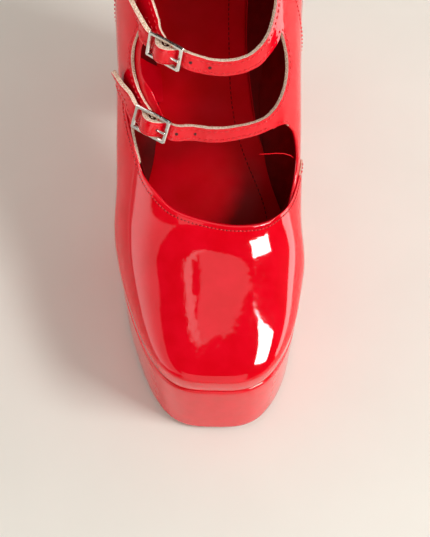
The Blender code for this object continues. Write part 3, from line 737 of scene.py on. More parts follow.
def paint(name, colour, roughness, bumps=(), mottle=None, rough=None, **values):
    """A procedural finish; sizes of its noises are in millimetres."""
    made = bpy.data.materials.new(name)
    made.use_nodes = True
    tree = made.node_tree
    shader = tree.nodes["Principled BSDF"]
    for socket, value in dict(values, Base_Color=(*colour, 1.0), Roughness=roughness).items():
        shader.inputs[socket.replace("_", " ")].default_value = value
    place = add_node(tree, "TexCoord", {}).outputs["Object"]

    def noise(size, detail):
        inputs = {"Vector": place, "Scale": 1000.0 / size, "Detail": detail}
        return add_node(tree, "TexNoise", inputs).outputs["Fac"]

    if mottle:
        size, *tones = mottle
        ramp = add_node(tree, "ValToRGB", {"Fac": noise(size, 4.0)})
        for element, position, tone in zip(ramp.color_ramp.elements, (0.36, 0.64), tones):
            element.position, element.color = position, (*tone, 1.0)
        tree.links.new(ramp.outputs["Color"], shader.inputs["Base Color"])
    if rough:
        size, low, high = rough
        spread = add_node(tree, "MapRange", {
            "Value": noise(size, 3.0), "From Min": 0.35, "From Max": 0.65, "To Min": low, "To Max": high,
        })
        tree.links.new(spread.outputs["Result"], shader.inputs["Roughness"])
    before = {}
    for size, depth in bumps:
        bump = add_node(tree, "Bump", {"Distance": depth * MM, "Height": noise(size, 2.0), **before})
        before = {"Normal": bump.outputs["Normal"]}
    if before:
        tree.links.new(before["Normal"], shader.inputs["Normal"])
    return made


PATENT = paint(
    "patent_leather", (0.74, 0.0, 0.004), 0.05, bumps=((7.0, 0.06), (1.1, 0.003)),
    mottle=(9.0, (0.72, 0.0, 0.008), (0.78, 0.001, 0.013)), rough=(2.5, 0.03, 0.07), IOR=1.5,
)
WRAP = paint(
    "patent_sole_wrap", (0.74, 0.0, 0.004), 0.08, bumps=((5.0, 0.10), (1.4, 0.03), (0.5, 0.004)),
    mottle=(7.0, (0.71, 0.0, 0.008), (0.77, 0.001, 0.013)), rough=(2.0, 0.06, 0.14), IOR=1.5,
)
# The lining's dark red is partly its own colour and partly painted shade: it is darkened to stand for the
# shadow inside the boot.
LINING_AND_SHADE = paint(
    "lining_leather_and_painted_shade", (0.14, 0.0, 0.001), 0.5, bumps=((2.2, 0.05), (0.7, 0.05)),
    mottle=(5.0, (0.12, 0.0, 0.0), (0.16, 0.0, 0.001)), rough=(3.0, 0.45, 0.62),
    Specular_IOR_Level=0.06,
)
INSOLE_LEATHER = paint(
    "insole_leather", (0.72, 0.001, 0.008), 0.34, bumps=((1.6, 0.03), (0.6, 0.02)),
    mottle=(14.0, (0.66, 0.0, 0.004), (0.74, 0.001, 0.010)), rough=(6.0, 0.28, 0.38),
    Specular_IOR_Level=0.06,
)
RAW_LIGHT = paint(
    "cut_edge_light", (0.94, 0.82, 0.70), 0.7, bumps=((0.5, 0.08),),
    mottle=(0.6, (0.88, 0.70, 0.57), (0.98, 0.92, 0.82)),
)
RAW_TAN = paint(
    "cut_edge_fibre", (0.74, 0.52, 0.38), 0.85, bumps=((0.4, 0.12),),
    mottle=(0.5, (0.50, 0.28, 0.17), (0.94, 0.78, 0.64)),
)
THREAD_RED = paint(
    "waxed_thread", (0.72, 0.0, 0.008), 0.4, bumps=((0.25, 0.04),),
    mottle=(0.4, (0.62, 0.0, 0.006), (0.82, 0.002, 0.014)),
)
NICKEL = paint(
    "polished_nickel", (0.80, 0.78, 0.74), 0.12, bumps=((1.2, 0.006),),
    rough=(1.0, 0.08, 0.2), Metallic=1.0,
)
RUBBER = paint(
    "moulded_rubber", (0.10, 0.012, 0.014), 0.6, bumps=((0.8, 0.05),),
    mottle=(3.0, (0.085, 0.010, 0.012), (0.12, 0.016, 0.018)), rough=(1.5, 0.5, 0.7),
)
# Painted shade: the dark discs stand for the shadow inside needle holes and punched holes.
HOLE_SHADE = paint(
    "hole_painted_shade", (0.05, 0.004, 0.004), 0.8, mottle=(0.3, (0.03, 0.002, 0.002), (0.08, 0.006, 0.005)),
)
LEATHER = [PATENT, LINING_AND_SHADE, RAW_LIGHT, RAW_TAN]

for node_name in ("outsole", "heel_tip"):
    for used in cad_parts[node_name].material_slots:
        used.material = RUBBER


# ---- the form as a grid
AROUND, ROWS = 400, 200
TABLE = upper_rings(np.linspace(0, 1, ROWS), AROUND)
TURN = np.linspace(0, 2 * math.pi, AROUND, endpoint=False)

# Shallow dents and swellings in the leather: centre, length direction, sizes, height.
RELIEF = (
    # x, s, z, half length, half width, direction in degrees from x towards s, height
    (-20, 205, 66, 22, 6, 80, -0.25),
    (24, 200, 68, 20, 6, 100, -0.25),
    (2, 196, 72, 24, 9, 5, 0.18),
    (-30, 160, 78, 14, 5, 100, -0.30),
    (33, 168, 74, 14, 5, 80, -0.25),
    (-37, 135, 90, 16, 7, 95, 0.35),
    (-36, 96, 125, 18, 7, 90, 0.35),
    (36, 96, 122, 18, 7, 90, 0.30),
    (0, 2, 150, 20, 9, 0, 0.25),
)


def relief(points):
    """Height of the listed dents over the form."""
    x, s, z = points[..., 0], points[..., 1], points[..., 2]
    height = np.zeros(x.shape)
    for cx, cs, cz, length, width, direction, rise in RELIEF:
        turn = math.radians(direction)
        along = (x - cx) * math.cos(turn) + (s - cs) * math.sin(turn)
        side = -(x - cx) * math.sin(turn) + (s - cs) * math.cos(turn)
        reach = (along / length) ** 2 + (side / width) ** 2 + ((z - cz) / (2.5 * width)) ** 2
        height += rise * np.exp(-reach)
    return height


def relief_normal(points, normals):
    """Normals of the form with its dents."""
    slope = differences(relief, points, 0.2) / 0.4
    slope -= normals * (slope * normals).sum(-1, keepdims=True)
    return unit(normals - slope)


HEIGHT = relief(TABLE)
NORMAL = relief_normal(TABLE, normal(TABLE))
X, S, Z = TABLE[..., 0], TABLE[..., 1], TABLE[..., 2]
_, UP, DEPTH = instep_view(TABLE)
IN_FRONT = DEPTH > -THROAT_DEPTH
INNER = np.broadcast_to(TURN[None, :] < math.pi, X.shape)


def from_form(offset):
    """Table points at an offset from the form's surface."""
    return TABLE + NORMAL * (HEIGHT + offset)[..., None]


def grid_of(outer, inner, points=None, normals=None):
    """A sheet's grid from the offsets of its outer and inner faces."""
    middle = from_form((outer + inner) / 2) if points is None else points
    half = (outer - inner) / 2 * np.ones(X.shape)
    upright = frame_turn(NORMAL) if normals is None else normals
    return np.concatenate([frame_mm(middle), upright, half[..., None]], -1)


# ---- strap lines
STRAPS = {"front": FRONT_STRAP, "rear": REAR_STRAP}
for strap in STRAPS.values():
    strap["buckle"] = buckle_axes(strap)
    strap["joint"] = len(strap["lead"]) + JOINT_MARK
    line, across, _ = strap_frames(strap, 0, strap["joint"], 240)
    view_x, view_up, _ = instep_view(line)
    order = np.argsort(view_x)
    strap["x"], strap["up"] = view_x[order], view_up[order]
    strap["line"], strap["across"] = line[order], across[order]
    strap["joint_x"] = float(view_x.min())


def strap_up(name, x):
    """How far up the instep a strap's middle line runs."""
    return np.interp(x, STRAPS[name]["x"], STRAPS[name]["up"])


def strap_edge(name, side, first, last, step=1.0):
    """Points (x, up) along a strap's edge."""
    x = np.arange(first, last, step if last > first else -step)
    return np.stack([x, strap_up(name, x) + side * STRAP_WIDTH / 2], -1)


def beside(name, x, off):
    """A place (x, up) at a distance from a strap's middle line."""
    return x, float(strap_up(name, x)) + off


# ---- outlines of the cuts
# Top line of the vamp, seen square to the instep, from the inner wing to the
# outer side; then the corners that close the opening above it.
VAMP_LINE = run((
    (48, 27), (43.2, 25.6), (41.9, 21.5), (41.0, 17.5), (39.6, 13.5), (36.2, 7.2), (31.7, 3.8),
    (25.3, 0.5), (18.5, -0.4), (12, -0.4), (4.1, 0.5), (-7.6, 3.1), (-17, 7), (-23, 12.5),
    (-27.9, 19.1), (-31.1, 28.2), (-33.8, 37.4), (-36, 48), (-36, 60),
))
VAMP_OPENING = np.vstack([VAMP_LINE, [(-36, 110), (48, 110)]])
# Front seams, seen from the side: the vamp's wings lie over the quarters.
INNER_WING = np.vstack([
    run(((133, 88), (132.6, 84), (131, 80.5), (127, 74), (123.5, 66), (121, 58), (119, 48))),
    [(118, 20), (320, 20), (320, 220), (133, 220)],
])
OUTER_WING = np.vstack([
    run(((131, 113), (118, 112), (108, 106), (103, 96), (100.5, 86), (99, 74))),
    [(98, 20), (320, 20), (320, 220), (131, 220)],
])
BACK_SEAM = run(((95, 200), (96, 175), (97.5, 150), (98, 130), (96.5, 110), (94, 92), (90, 74), (86, 50)))
BEHIND = np.vstack([BACK_SEAM, [(-60, 50), (-60, 200)]])
COLLAR_LINE = run((
    (-30, 198.5), (0, 197.5), (20, 196.5), (40, 193), (60, 186.5), (75, 179),
    (90, 169), (100, 160.5), (108, 152.5), (113, 147), (118, 142.5),
))
ABOVE = np.vstack([COLLAR_LINE, [(150, 120), (150, 260), (-30, 260)]])

OPENING_LOW = np.vstack([
    strap_edge("front", -1, -60, 12),
    run((
        beside("front", 12.5, -3.5), beside("front", 16, -3.5), (21.7, 39.9), (26, 41.6), (30.3, 42.8),
        (33.4, 43.0), (36.2, 41.4), (38.4, 38), (39.8, 33), (40.6, 27), (40.4, 20), (39, 12), (36.6, 4),
        (33, -8), (30, -16),
    )),
    [(-60, -16)],
])
OPENING_MIDDLE = np.vstack([
    strap_edge("front", 1, -60, 2),
    run((
        beside("front", 2.5, 3.5), (6.5, 43.0), (10.5, 43.4), (14.5, 44.0), (18, 44.7), (22, 46.0),
        (25.9, 48.1), (29.4, 51.8), (31.6, 56.3), (32.8, 61), (33.2, 67.6), (32.5, 73.1), (30.8, 79.0),
        (29.3, 82.6),
    )),
    run((
        (29.3, 82.6), (28.4, 78.4), (26.6, 75.6), (24.5, 73.3), (22.2, 71.0),
        beside("rear", 19, -3.5), beside("rear", 16, -3.4),
    )),
    strap_edge("rear", -1, 15, -60),
])
OPENING_HIGH = np.vstack([
    strap_edge("rear", 1, -60, 11),
    run((
        beside("rear", 11.5, 3.5), beside("rear", 15, 3.5), (21.2, 77.2), (23.9, 80.6), (25.6, 85),
        (26.6, 90), (27.1, 96),
    )),
    [(27.1, 220), (-60, 220)],
])
OUTER_EDGE = np.vstack([
    run(((-22.6, 110), (-22.6, 97), (-21.2, 88.5), (-20.6, 82.4), (-18.4, 79.2))),
    run(((-18.4, 71.3), (-21.4, 76), (-24.6, 82), (-26.6, 86))),
    run(((-27.6, 85.6), (-30.4, 80.5), (-32.8, 74), (-33.4, 68), (-32.4, 62), (-30.2, 56), (-27.2, 51),
         (-24.4, 47.3))),
    run(((-24.4, 40), (-30.6, 43), (-33.4, 41.6), (-33.6, 37), (-31.4, 28), (-28.5, 18), (-23, 10),
         (-14, 3))),
    [(60, 3), (60, 110)],
])

# Edge of the folded facing that shows inside the outer quarter's edge.
FACING_EDGE = np.vstack([
    run(((-20.4, 110), (-20.6, 93.6), (-19.7, 89.4), (-18.1, 85.3), (-16.1, 80.9), (-14.6, 76), (-15, 70))),
    run(((-17.6, 69), (-21, 73), (-25.6, 79), (-29, 77), (-31, 70), (-30.6, 64), (-28.6, 60), (-25.7, 56.3),
         (-23.6, 52.2), (-21.2, 47.2), (-20, 42))),
    [(60, 42), (60, 110)],
])


COLLAR_SHIFT, BACK_SEAM_SHIFT = 3.0, -9.0  # how far forward the outer side's lines are of the inner's
QUARTER_END, INNER_END = 146.0, 160.0  # s at which the quarters end under the vamp
BETWEEN_STRAPS = 58        # distance up the instep that is between the two straps
ANYWHERE = -10.0           # a value that doesn't cut


def in_instep(outline, deepest=THROAT_DEPTH):
    """Above zero inside an outline drawn square to the instep."""
    return np.where(DEPTH > -deepest, -signed(X, UP, outline), ANYWHERE)


def in_side(outline, shift=0.0):
    """Below zero inside an outline drawn in the side view."""
    return signed(S - shift, Z, outline)


low_end = feather(S) + 1.0 - Z
strap_x = np.where(UP < BETWEEN_STRAPS, FRONT_STRAP["joint_x"], REAR_STRAP["joint_x"])
collar_shift = np.where(INNER, 0.0, COLLAR_SHIFT * np.maximum(S, 0) / 118)
collar = -signed(S - collar_shift, Z, ABOVE)
behind = in_side(BEHIND, np.where(INNER, 0.0, BACK_SEAM_SHIFT))

vamp_keep = np.maximum.reduce([
    in_instep(VAMP_OPENING, 36.0), np.where(INNER, in_side(INNER_WING), in_side(OUTER_WING)), low_end,
])
inner_keep = np.maximum.reduce([
    in_instep(OPENING_LOW), in_instep(OPENING_MIDDLE), in_instep(OPENING_HIGH),
    np.where(IN_FRONT & (X < 25), ANYWHERE, collar), -behind, low_end,
    S - np.where(X > 20, INNER_END, QUARTER_END),
    np.where((X < 30) & IN_FRONT, strap_x - X, np.where(INNER, ANYWHERE, -ANYWHERE)),
])
outer_keep = np.maximum.reduce([
    in_instep(OUTER_EDGE), collar, -behind, S - QUARTER_END, low_end, X + 10.0,
])
back_keep = np.maximum.reduce([behind - 1.0, collar, low_end])
walls = np.minimum.reduce([vamp_keep, inner_keep, outer_keep, back_keep])
no_strap = np.where(IN_FRONT & (X > -15) & (UP > 25), 30.5 - 4.0 * smoothstep(70, 90, UP) - X, ANYWHERE)
lining_keep = np.maximum(walls + 0.3, no_strap)

# ---- the upper's leathers
# Offsets of the leathers' faces from the form; what lies below goes under.
VAMP_FACE, QUARTER_FACE, BACK_FACE, WALL_BACK = 0.45, -0.4, -0.8, -2.1
FACING_FACE, FACING_BACK, LINING_FACE, LINING_BACK = -2.55, -3.15, -2.12, -2.5
FOLD_HEIGHT = 2.2          # how far over the seam at the sole the leather counts as folded


def vamp_rolled(table):
    """The vamp's top line and bottom are folded; its wings are cut."""
    x, up, _ = instep_view(table)
    near = np.abs(signed(x, up, VAMP_OPENING)) < 0.9
    return np.maximum(near & (x < 41.2), only_bottom(table))


def only_bottom(table):
    """Folded only where the leather meets the sole."""
    return (table[:, 2] < feather(table[:, 1]) + FOLD_HEIGHT).astype(float)


def quarter_rolled(table):
    """The inner quarter's edge round the lower opening is folded."""
    x, up, depth = instep_view(table)
    lower = (x > 27) & (up < 42.5) & (depth > -THROAT_DEPTH - 1) & (table[:, 1] > 126)
    return np.maximum(only_bottom(table), lower)


def clear_of_sole(table, height):
    """True where the upper is high enough over the sole for stitches."""
    return table[:, 2] > feather(table[:, 1]) + height


# The vamp's leather is thin where it lies over the quarters, and the whole wall in front.
THIN_BACK, THICKENS_OVER = -0.35, 13
thin_until = 148 + 12 * smoothstep(15, 30, X)
vamp_back = THIN_BACK + (WALL_BACK - THIN_BACK) * smoothstep(0, THICKENS_OVER, S - thin_until)
for loop in sheet("vamp", grid_of(VAMP_FACE, vamp_back), vamp_keep, vamp_rolled):
    stitch_loop(loop, FOLD_ROW, lambda t, roll: (roll > 0.5) & clear_of_sole(t, 6), THICK_THREAD)
    stitch_loop(loop, WING_ROW, lambda t, roll: (roll < 0.5) & clear_of_sole(t, 6))

# The two straps leave the inner quarter: their points follow the strap lines.
middle_offset = (QUARTER_FACE + WALL_BACK) / 2
quarter_half = (QUARTER_FACE - WALL_BACK) / 2
quarter_points = from_form(middle_offset)
quarter_normals = frame_turn(NORMAL)
for name, strap in STRAPS.items():
    high, low = strap["root"]
    share_across = (UP - strap_up(name, X)) / (STRAP_WIDTH / 2)
    weight = 1 - smoothstep(low, high, X)
    weight = weight * (1 - smoothstep(1.6, 3.2, np.abs(share_across))) * IN_FRONT
    centre, across = (at_place(X, strap["x"], strap[key]) for key in ("line", "across"))
    target = centre + across * (share_across * STRAP_WIDTH / 2)[..., None]
    quarter_points = quarter_points + (target - quarter_points) * weight[..., None]
moved = frame_mm(quarter_points)
tangent = np.roll(moved, -1, 1) - np.roll(moved, 1, 1)
measured = unit(np.cross(tangent, np.gradient(moved, axis=0)))
measured *= np.sign((measured * quarter_normals).sum(-1, keepdims=True))
shifted = np.linalg.norm(quarter_points - from_form(middle_offset), axis=-1)
share = smoothstep(0.0, 0.15, shifted)[..., None]
quarter_normals = unit(quarter_normals * (1 - share) + measured * share)
grid = grid_of(QUARTER_FACE, WALL_BACK, quarter_points, quarter_normals)
grid[..., 6] = quarter_half + (STRAP_HALF - quarter_half) * share[..., 0]
inner_loops = sheet(
    "inner_quarter", grid, inner_keep, quarter_rolled, nodes=("upper", "strap_front", "strap_rear"),
)
outer_loops = sheet("outer_quarter", grid_of(QUARTER_FACE, WALL_BACK), outer_keep, only_bottom)


def quarter_stitched(table, roll):
    """Edges of a quarter with a row of stitches: not those under the vamp."""
    x, up, _ = instep_view(table)
    hidden = (x > 0) & (table[:, 1] > 141) & (up < 20) & (x < 36)
    return (roll < 0.5) & (table[:, 1] < 158) & ~hidden & clear_of_sole(table, 8)


def back_stitched(table, roll):
    """The back quarter's inner edge, up by the ankle."""
    return (roll < 0.5) & (table[:, 1] < 90) & (table[:, 2] > 150) & (table[:, 0] > 0)


for loop in inner_loops + outer_loops:
    stitch_loop(loop, PLAIN_ROW, quarter_stitched)
for loop in sheet("back_quarter", grid_of(BACK_FACE, WALL_BACK), back_keep, only_bottom):
    stitch_loop(loop, PLAIN_ROW, back_stitched)
facing_keep = np.maximum.reduce([
    in_instep(FACING_EDGE), collar + 1.0, -behind, S - 140.0, X + 8.0, 44.0 - UP, outer_keep - 9.0,
])
sheet("outer_facing", grid_of(FACING_FACE, FACING_BACK), facing_keep, lambda table: np.ones(len(table)),
      "red_lining", materials=[PATENT] * 4)
sheet("quarter_lining", grid_of(LINING_FACE, LINING_BACK)[::2, ::2], lining_keep[::2, ::2], only_bottom,
      "red_lining", materials=[LINING_AND_SHADE] * 4)

# The piped seam across the lining, inside the lowest opening.
PIPING = (
    # x, s, z
    (22.0, 144.2, 101.2), (24.8, 143.4, 100.4), (28.8, 141.7, 98.8),
    (32.9, 139.7, 96.1), (36.2, 137.8, 92.4), (37.6, 136.8, 89.6),
)
PIPE = 0.22
piped_x, _, piped_z = zip(*PIPING)
cord = run([place[:2] for place in PIPING], 0.4)
cord = np.column_stack([cord, np.interp(cord[:, 0], piped_x, piped_z)])
cord_up = frame_turn(-normal(cord))
cord = frame_mm(cord) + cord_up * 0.1
cord_side = unit(np.cross(unit(np.gradient(cord, axis=0)), cord_up))
closed_piece(
    "lining_piping", *sweep_tube([circle(*row, PIPE, 10) for row in zip(cord, cord_up, cord_side)]),
    [INSOLE_LEATHER], "red_lining", "upper", sharp=60,
)


# ---- strap ends
def ribbon(name, line, across, width, half, node, dome=0.15):
    """A closed strip of leather with a domed face and cut edges; gives its facing."""
    face = unit(np.cross(across, unit(np.gradient(line, axis=0))))
    shares = np.linspace(-1, 1, 9)
    rings = []
    for point, side, up, wide in zip(line, across, face, width):
        reach = max(wide / 2, 0.4) - 0.1
        places = [(share * reach, half * (1 + dome * (1 - share ** 2))) for share in shares]
        places += [(reach + out, half * high) for high, out in RAW_PROFILE[1:-1]]
        places += [(share * reach, -half) for share in shares[::-2]]
        places += [(-reach - out, half * high) for high, out in RAW_PROFILE[-2:0:-1]]
        rings.append([point + side * a + up * b for a, b in places])
    count, around = len(rings), len(rings[0])
    edge = [2] + [3] * (len(RAW_PROFILE) - 3) + [1]
    kinds = [0] * 8 + edge + [1] * 4 + edge[::-1]
    kinds += [1] * (around - len(kinds))
    indices = [3] + kinds[:around] * (count - 1) + [3]
    closed_piece(name, *sweep_tube(rings), LEATHER, "red_patent", node, indices=indices, sharp=50)
    return face


STRAP_INSET, STRAP_PITCH = PLAIN_ROW
ROUND_TIP, WHOLE_WIDTH = 2.6, 9        # from a strap's tip: how far it rounds off, is full width
for name, strap in STRAPS.items():
    total = len(strap["lead"]) + len(BUCKLE_ROUTE) + len(strap["tail"]) - 1
    line, across, width = strap_frames(strap, strap["joint"], total, 150)
    steps = travelled(line)
    from_tip = steps[-1] - steps
    width = np.where(from_tip < WHOLE_WIDTH, STRAP_WIDTH, width)
    width = width * np.sqrt(np.clip(1 - np.clip(1 - from_tip / ROUND_TIP, 0, 1) ** 2.5, 0.12, 1))
    line, across = frame_mm(line), frame_turn(across)
    face = ribbon("strap_end_" + name, line, across, width, STRAP_HALF, "strap_" + name)
    stitched = from_tip > 2.0
    for side in (-1, 1):
        edge = line + across * (side * (width[:, None] / 2 - STRAP_INSET)) + face * STRAP_HALF * 1.05
        stitch_line(seams, edge[stitched], face[stitched], STRAP_PITCH)
    strap["end"] = (line, face)

seams.make("seam_stitches", THREAD_RED, "red_patent")
needle_holes.make("needle_holes", HOLE_SHADE, "red_lining", sharp=40)

# ---- buckles
TAB_ROUTE = (
    # along, height over the buckle's middle plane
    (-4.6, -3.4), (-3.2, -2.2), (-1.2, -1.85), (0.9, -1.6), (1.85, -0.3), (1.3, 1.2),
    (0.0, 1.62), (-1.35, 1.15), (-2.4, -0.1), (-3.6, -1.35),
)
PRONG_ROUTE = (
    (1.5, -0.5), (1.8, 0.1), (2.4, 0.35), (3.1, 0.8), (4.0, 1.3), (5.0, 1.7), (6.2, 1.8), (7.95, 1.75),
)

CHAMFER, OUTER_CORNER, WINDOW_CORNER = 0.42, 1.0, 0.45
PRONG_RADIUS, PRONG_SIDES, PRONG_TAPER, PRONG_POINT = 0.66, 14, 0.18, 0.97
TAB_WIDTH, TAB_HALF = 6.4, 0.42


def in_buckle(strap, along, across, facing):
    """Row-frame point of a place in a buckle's own millimetres."""
    centre, a, b, c = strap["buckle"]
    return frame_mm(centre + a * along + b * across + c * facing)


def bar_frame(name, strap, node):
    """The three-bar frame: one outside outline, two windows, chamfered."""
    curve = bpy.data.curves.new(name, "CURVE")
    curve.dimensions, curve.fill_mode = "2D", "BOTH"
    curve.bevel_depth, curve.bevel_resolution = CHAMFER, 0
    curve.extrude, curve.offset = BUCKLE_THICK / 2 - CHAMFER, -CHAMFER
    hole = (BUCKLE_LENGTH - 3 * BUCKLE_BAR) / 2
    outlines = [(BUCKLE_LENGTH, BUCKLE_WIDTH, 0.0, OUTER_CORNER)]
    for side in (-1, 1):
        outlines.append((hole, BUCKLE_WIDTH - 2 * BUCKLE_BAR, side * (hole + BUCKLE_BAR) / 2, WINDOW_CORNER))
    for length, width, middle, radius in outlines:
        corners = []
        for quarter, (sx, sy) in enumerate(((1, 1), (-1, 1), (-1, -1), (1, -1))):
            for step in range(6):
                turn = math.radians(90 * quarter + 18 * step)
                corners.append((middle + sx * (length / 2 - radius) + radius * math.cos(turn),
                                sy * (width / 2 - radius) + radius * math.sin(turn)))
        spline_line = curve.splines.new("POLY")
        spline_line.points.add(len(corners) - 1)
        for point, (a, b) in zip(spline_line.points, corners):
            point.co = (a, b, 0, 1)
        spline_line.use_cyclic_u = True
    holder = add_object(name + "_curve", curve)
    graph = bpy.context.evaluated_depsgraph_get()
    flat = bpy.data.meshes.new_from_object(holder.evaluated_get(graph))
    bpy.data.objects.remove(holder)
    work = bmesh.new()
    work.from_mesh(flat)
    bmesh.ops.remove_doubles(work, verts=work.verts, dist=1e-4)
    vertices = [in_buckle(strap, *v.co) for v in work.verts]
    work.verts.index_update()
    faces = [tuple(v.index for v in f.verts) for f in work.faces]
    work.free()
    made = closed_piece(name, vertices, faces, [NICKEL], "silver_metal", node)
    made.data.set_sharp_from_angle(angle=math.radians(25))


for name, strap in STRAPS.items():
    bar_frame("buckle_bars_" + name, strap, "buckle_" + name)
    route = run(PRONG_ROUTE, 0.25)
    rings = []
    forward, steps = unit(np.gradient(route, axis=0)), np.linspace(0, 1, len(route))
    for (along, high), ahead, step in zip(route, forward, steps):
        radius = PRONG_RADIUS * (1 - PRONG_TAPER * step) * (1 if step < PRONG_POINT else 0.75)
        upright = np.array([-ahead[1], 0, ahead[0]])
        ring = circle(np.array([along, 0.0, high]), np.array([0, 1, 0]), upright, radius, PRONG_SIDES)
        rings.append([in_buckle(strap, *place) for place in ring])
    closed_piece(
        "buckle_prong_" + name, *sweep_tube(rings), [NICKEL], "silver_metal", "prong_" + name, sharp=45,
    )
    line = np.array([in_buckle(strap, a, 0.0, h) for a, h in run(TAB_ROUTE, 0.3)])
    across = np.repeat([frame_turn(strap["buckle"][2])], len(line), 0)
    ribbon("buckle_tab_" + name, line, across, np.full(len(line), TAB_WIDTH), TAB_HALF, "upper", 0.05)


def punched(middle, up):
    """A punched hole in a strap."""
    side = unit(np.cross(up, (0.3, 0.4, 0.86)))
    add_hole(holes, PUNCHED_HOLE, middle, side, np.cross(up, side), up, 16)


HOLE_X = {"front": (-13.6, -5.7), "rear": (-7.7, 0.1)}  # before the buckles
HOLES_IN_BUCKLE = (-4.4, 3.4)          # distance along the front buckle
for name, places in HOLE_X.items():
    strap = STRAPS[name]
    for x in places:
        middle, ahead = (frame_mm(at_place(x - d, strap["x"], strap["line"])) for d in (0, 1))
        across = frame_turn(at_place(x, strap["x"], strap["across"]))
        up = unit(np.cross(across, ahead - middle))
        punched(middle + up * STRAP_HALF, up)
line, face = FRONT_STRAP["end"]
centre, frame_along, _, _ = FRONT_STRAP["buckle"]
reach = (table_mm(line) - centre) @ frame_along
for along in HOLES_IN_BUCKLE:
    nearest = int(np.argmin(np.abs(reach - along)))
    punched(line[nearest] + face[nearest] * STRAP_HALF * 1.15, face[nearest])
holes.make("punched_holes", HOLE_SHADE, "red_lining", sharp=40)

# ---- the sole
PLATFORM_EDGE, WAIST_BOARD, TREAD, GAP = 1.2, 3.4, 1.6, 0.3
PLATFORM_BACK, PLATFORM_BACK_RUN = 101.0, 24.0
TOE_SPRING_START, TOE_SPRING, TOE_END = 196.0, 0.6, 232.0
EDGE_RADIUS = 1.2
SIDE_ROWS = 14


def tread_bottom(s):
    """Underside of the tread: flat, with a little spring at the toe."""
    rise = np.maximum(s - TOE_SPRING_START, 0) / (TOE_END - TOE_SPRING_START)
    return TOE_SPRING * rise * rise


def platform_bottom(s):
    """Underside of the wrapped sole: seat and waist, back wall, then flat."""
    waist = feather(s) - WAIST_BOARD
    flat = tread_bottom(s) + TREAD + GAP
    return waist + (flat - waist) * smoothstep(0, 1, (s - PLATFORM_BACK) / PLATFORM_BACK_RUN)


def strip_cap(start, count, first, last):
    """Strips across a symmetrical ring of points."""
    return [(start + j, start + j + 1, start + last - j - 1, start + last - j)
            for j in range(first, count // 2 - 1)]


seam = TABLE[0]
ahead = np.roll(seam, -1, 0) - np.roll(seam, 1, 0)
plan = unit(np.stack([ahead[:, 1], -ahead[:, 0]], -1))
plan *= np.sign((plan * (seam[:, :2] - (0, 115))).sum(1, keepdims=True))
# Reach past the seam, what the height starts from, height or share of the side.
profile = [(-5.0, "top", 0.0), (-2.0, "top", 0.0)]
quarter_turns = [math.pi / 2 * k / 5 for k in range(6)]
corner = PLATFORM_EDGE - EDGE_RADIUS
profile += [(corner + EDGE_RADIUS * math.sin(t), "top", EDGE_RADIUS * (math.cos(t) - 1))
            for t in quarter_turns]
profile += [(PLATFORM_EDGE, "side", k / SIDE_ROWS) for k in range(1, SIDE_ROWS)]
profile += [(corner + EDGE_RADIUS * math.cos(t), "bottom", EDGE_RADIUS * (1 - math.sin(t)))
            for t in quarter_turns]
profile.append((-4.0, "bottom", 0.0))
rings = []
for reach, kind, value in profile:
    flat = seam[:, :2] + plan * reach
    top = feather(seam[:, 1]) - GAP
    bottom = platform_bottom(flat[:, 1])
    height = {
        "top": top + value,
        "bottom": bottom + value,
        "side": (top - EDGE_RADIUS) * (1 - value) + (bottom + EDGE_RADIUS) * value,
    }[kind]
    rings.append(np.column_stack([flat, height]))
faces = tube_faces(len(rings), AROUND)
for start in (0, (len(rings) - 1) * AROUND):
    half_turn = start + AROUND // 2
    faces += strip_cap(start, AROUND, 1, AROUND)
    faces += [(start, start + 1, start + AROUND - 1), (half_turn - 1, half_turn, half_turn + 1)]
closed_piece("sole_wrap", frame_mm(np.concatenate(rings)), faces, [WRAP], "red_patent", "platform", sharp=50)

HEEL = (
    # height, back s, breast s, half width
    (6.3, 4.0, 53.0, 25.0), (40.0, 2.6, 54.5, 25.6), (80.0, 0.6, 57.5, 26.6), (112.0, -0.4, 61.0, 27.6),
)
HEEL_LEVELS, BREAST_RADIUS, HEEL_MIDDLE = 30, 1.4, 30
heel_splines = splines(HEEL)


def heel_outline(back, breast, half):
    """One level section of the heel: round at the back, flat at the breast."""
    depth = breast - back
    side = []
    for t in np.linspace(0.02, math.pi / 2, 26):
        side.append((half * math.sin(t) ** 0.8, back + depth * 0.62 * (1 - math.cos(t))))
    side += [(half * (1 - 0.03 * k / 8), back + depth * (0.62 + 0.35 * k / 8)) for k in range(1, 9)]
    for turn in (math.pi / 2 * k / 4 for k in range(1, 5)):
        side.append((half * 0.97 - BREAST_RADIUS * (1 - math.cos(turn)),
                     breast - 0.03 * depth + BREAST_RADIUS * math.sin(turn)))
    return side + [(-x, s) for x, s in reversed(side)]


sections = []
bottom, top = HEEL[0][0], HEEL[-1][0]
for share in np.linspace(0, 1, HEEL_LEVELS):
    z = bottom + (top - bottom) * share
    outline = heel_outline(*(float(value(z)) for value in heel_splines))
    blend = smoothstep(0.55, 1.0, share)
    pinch = 1 - 0.012 * max(1 - share * HEEL_LEVELS / 2, 0)
    section = []
    for x, s in outline:
        under_seat = float(feather(s)) - WAIST_BOARD - 1.4 * GAP
        rise = z * (1 - blend) + (bottom + (under_seat - bottom) * share) * blend
        section.append((x * pinch, HEEL_MIDDLE + (s - HEEL_MIDDLE) * pinch, rise))
    sections.append(section)
sections = np.array(sections)
count = sections.shape[1]
faces = tube_faces(HEEL_LEVELS, count)
for start in (0, (HEEL_LEVELS - 1) * count):
    faces += strip_cap(start, count, 0, count - 1)
sections = frame_mm(sections.reshape(-1, 3))
closed_piece("heel_cover", sections, faces, [PATENT], "red_patent", "heel_block", sharp=40)

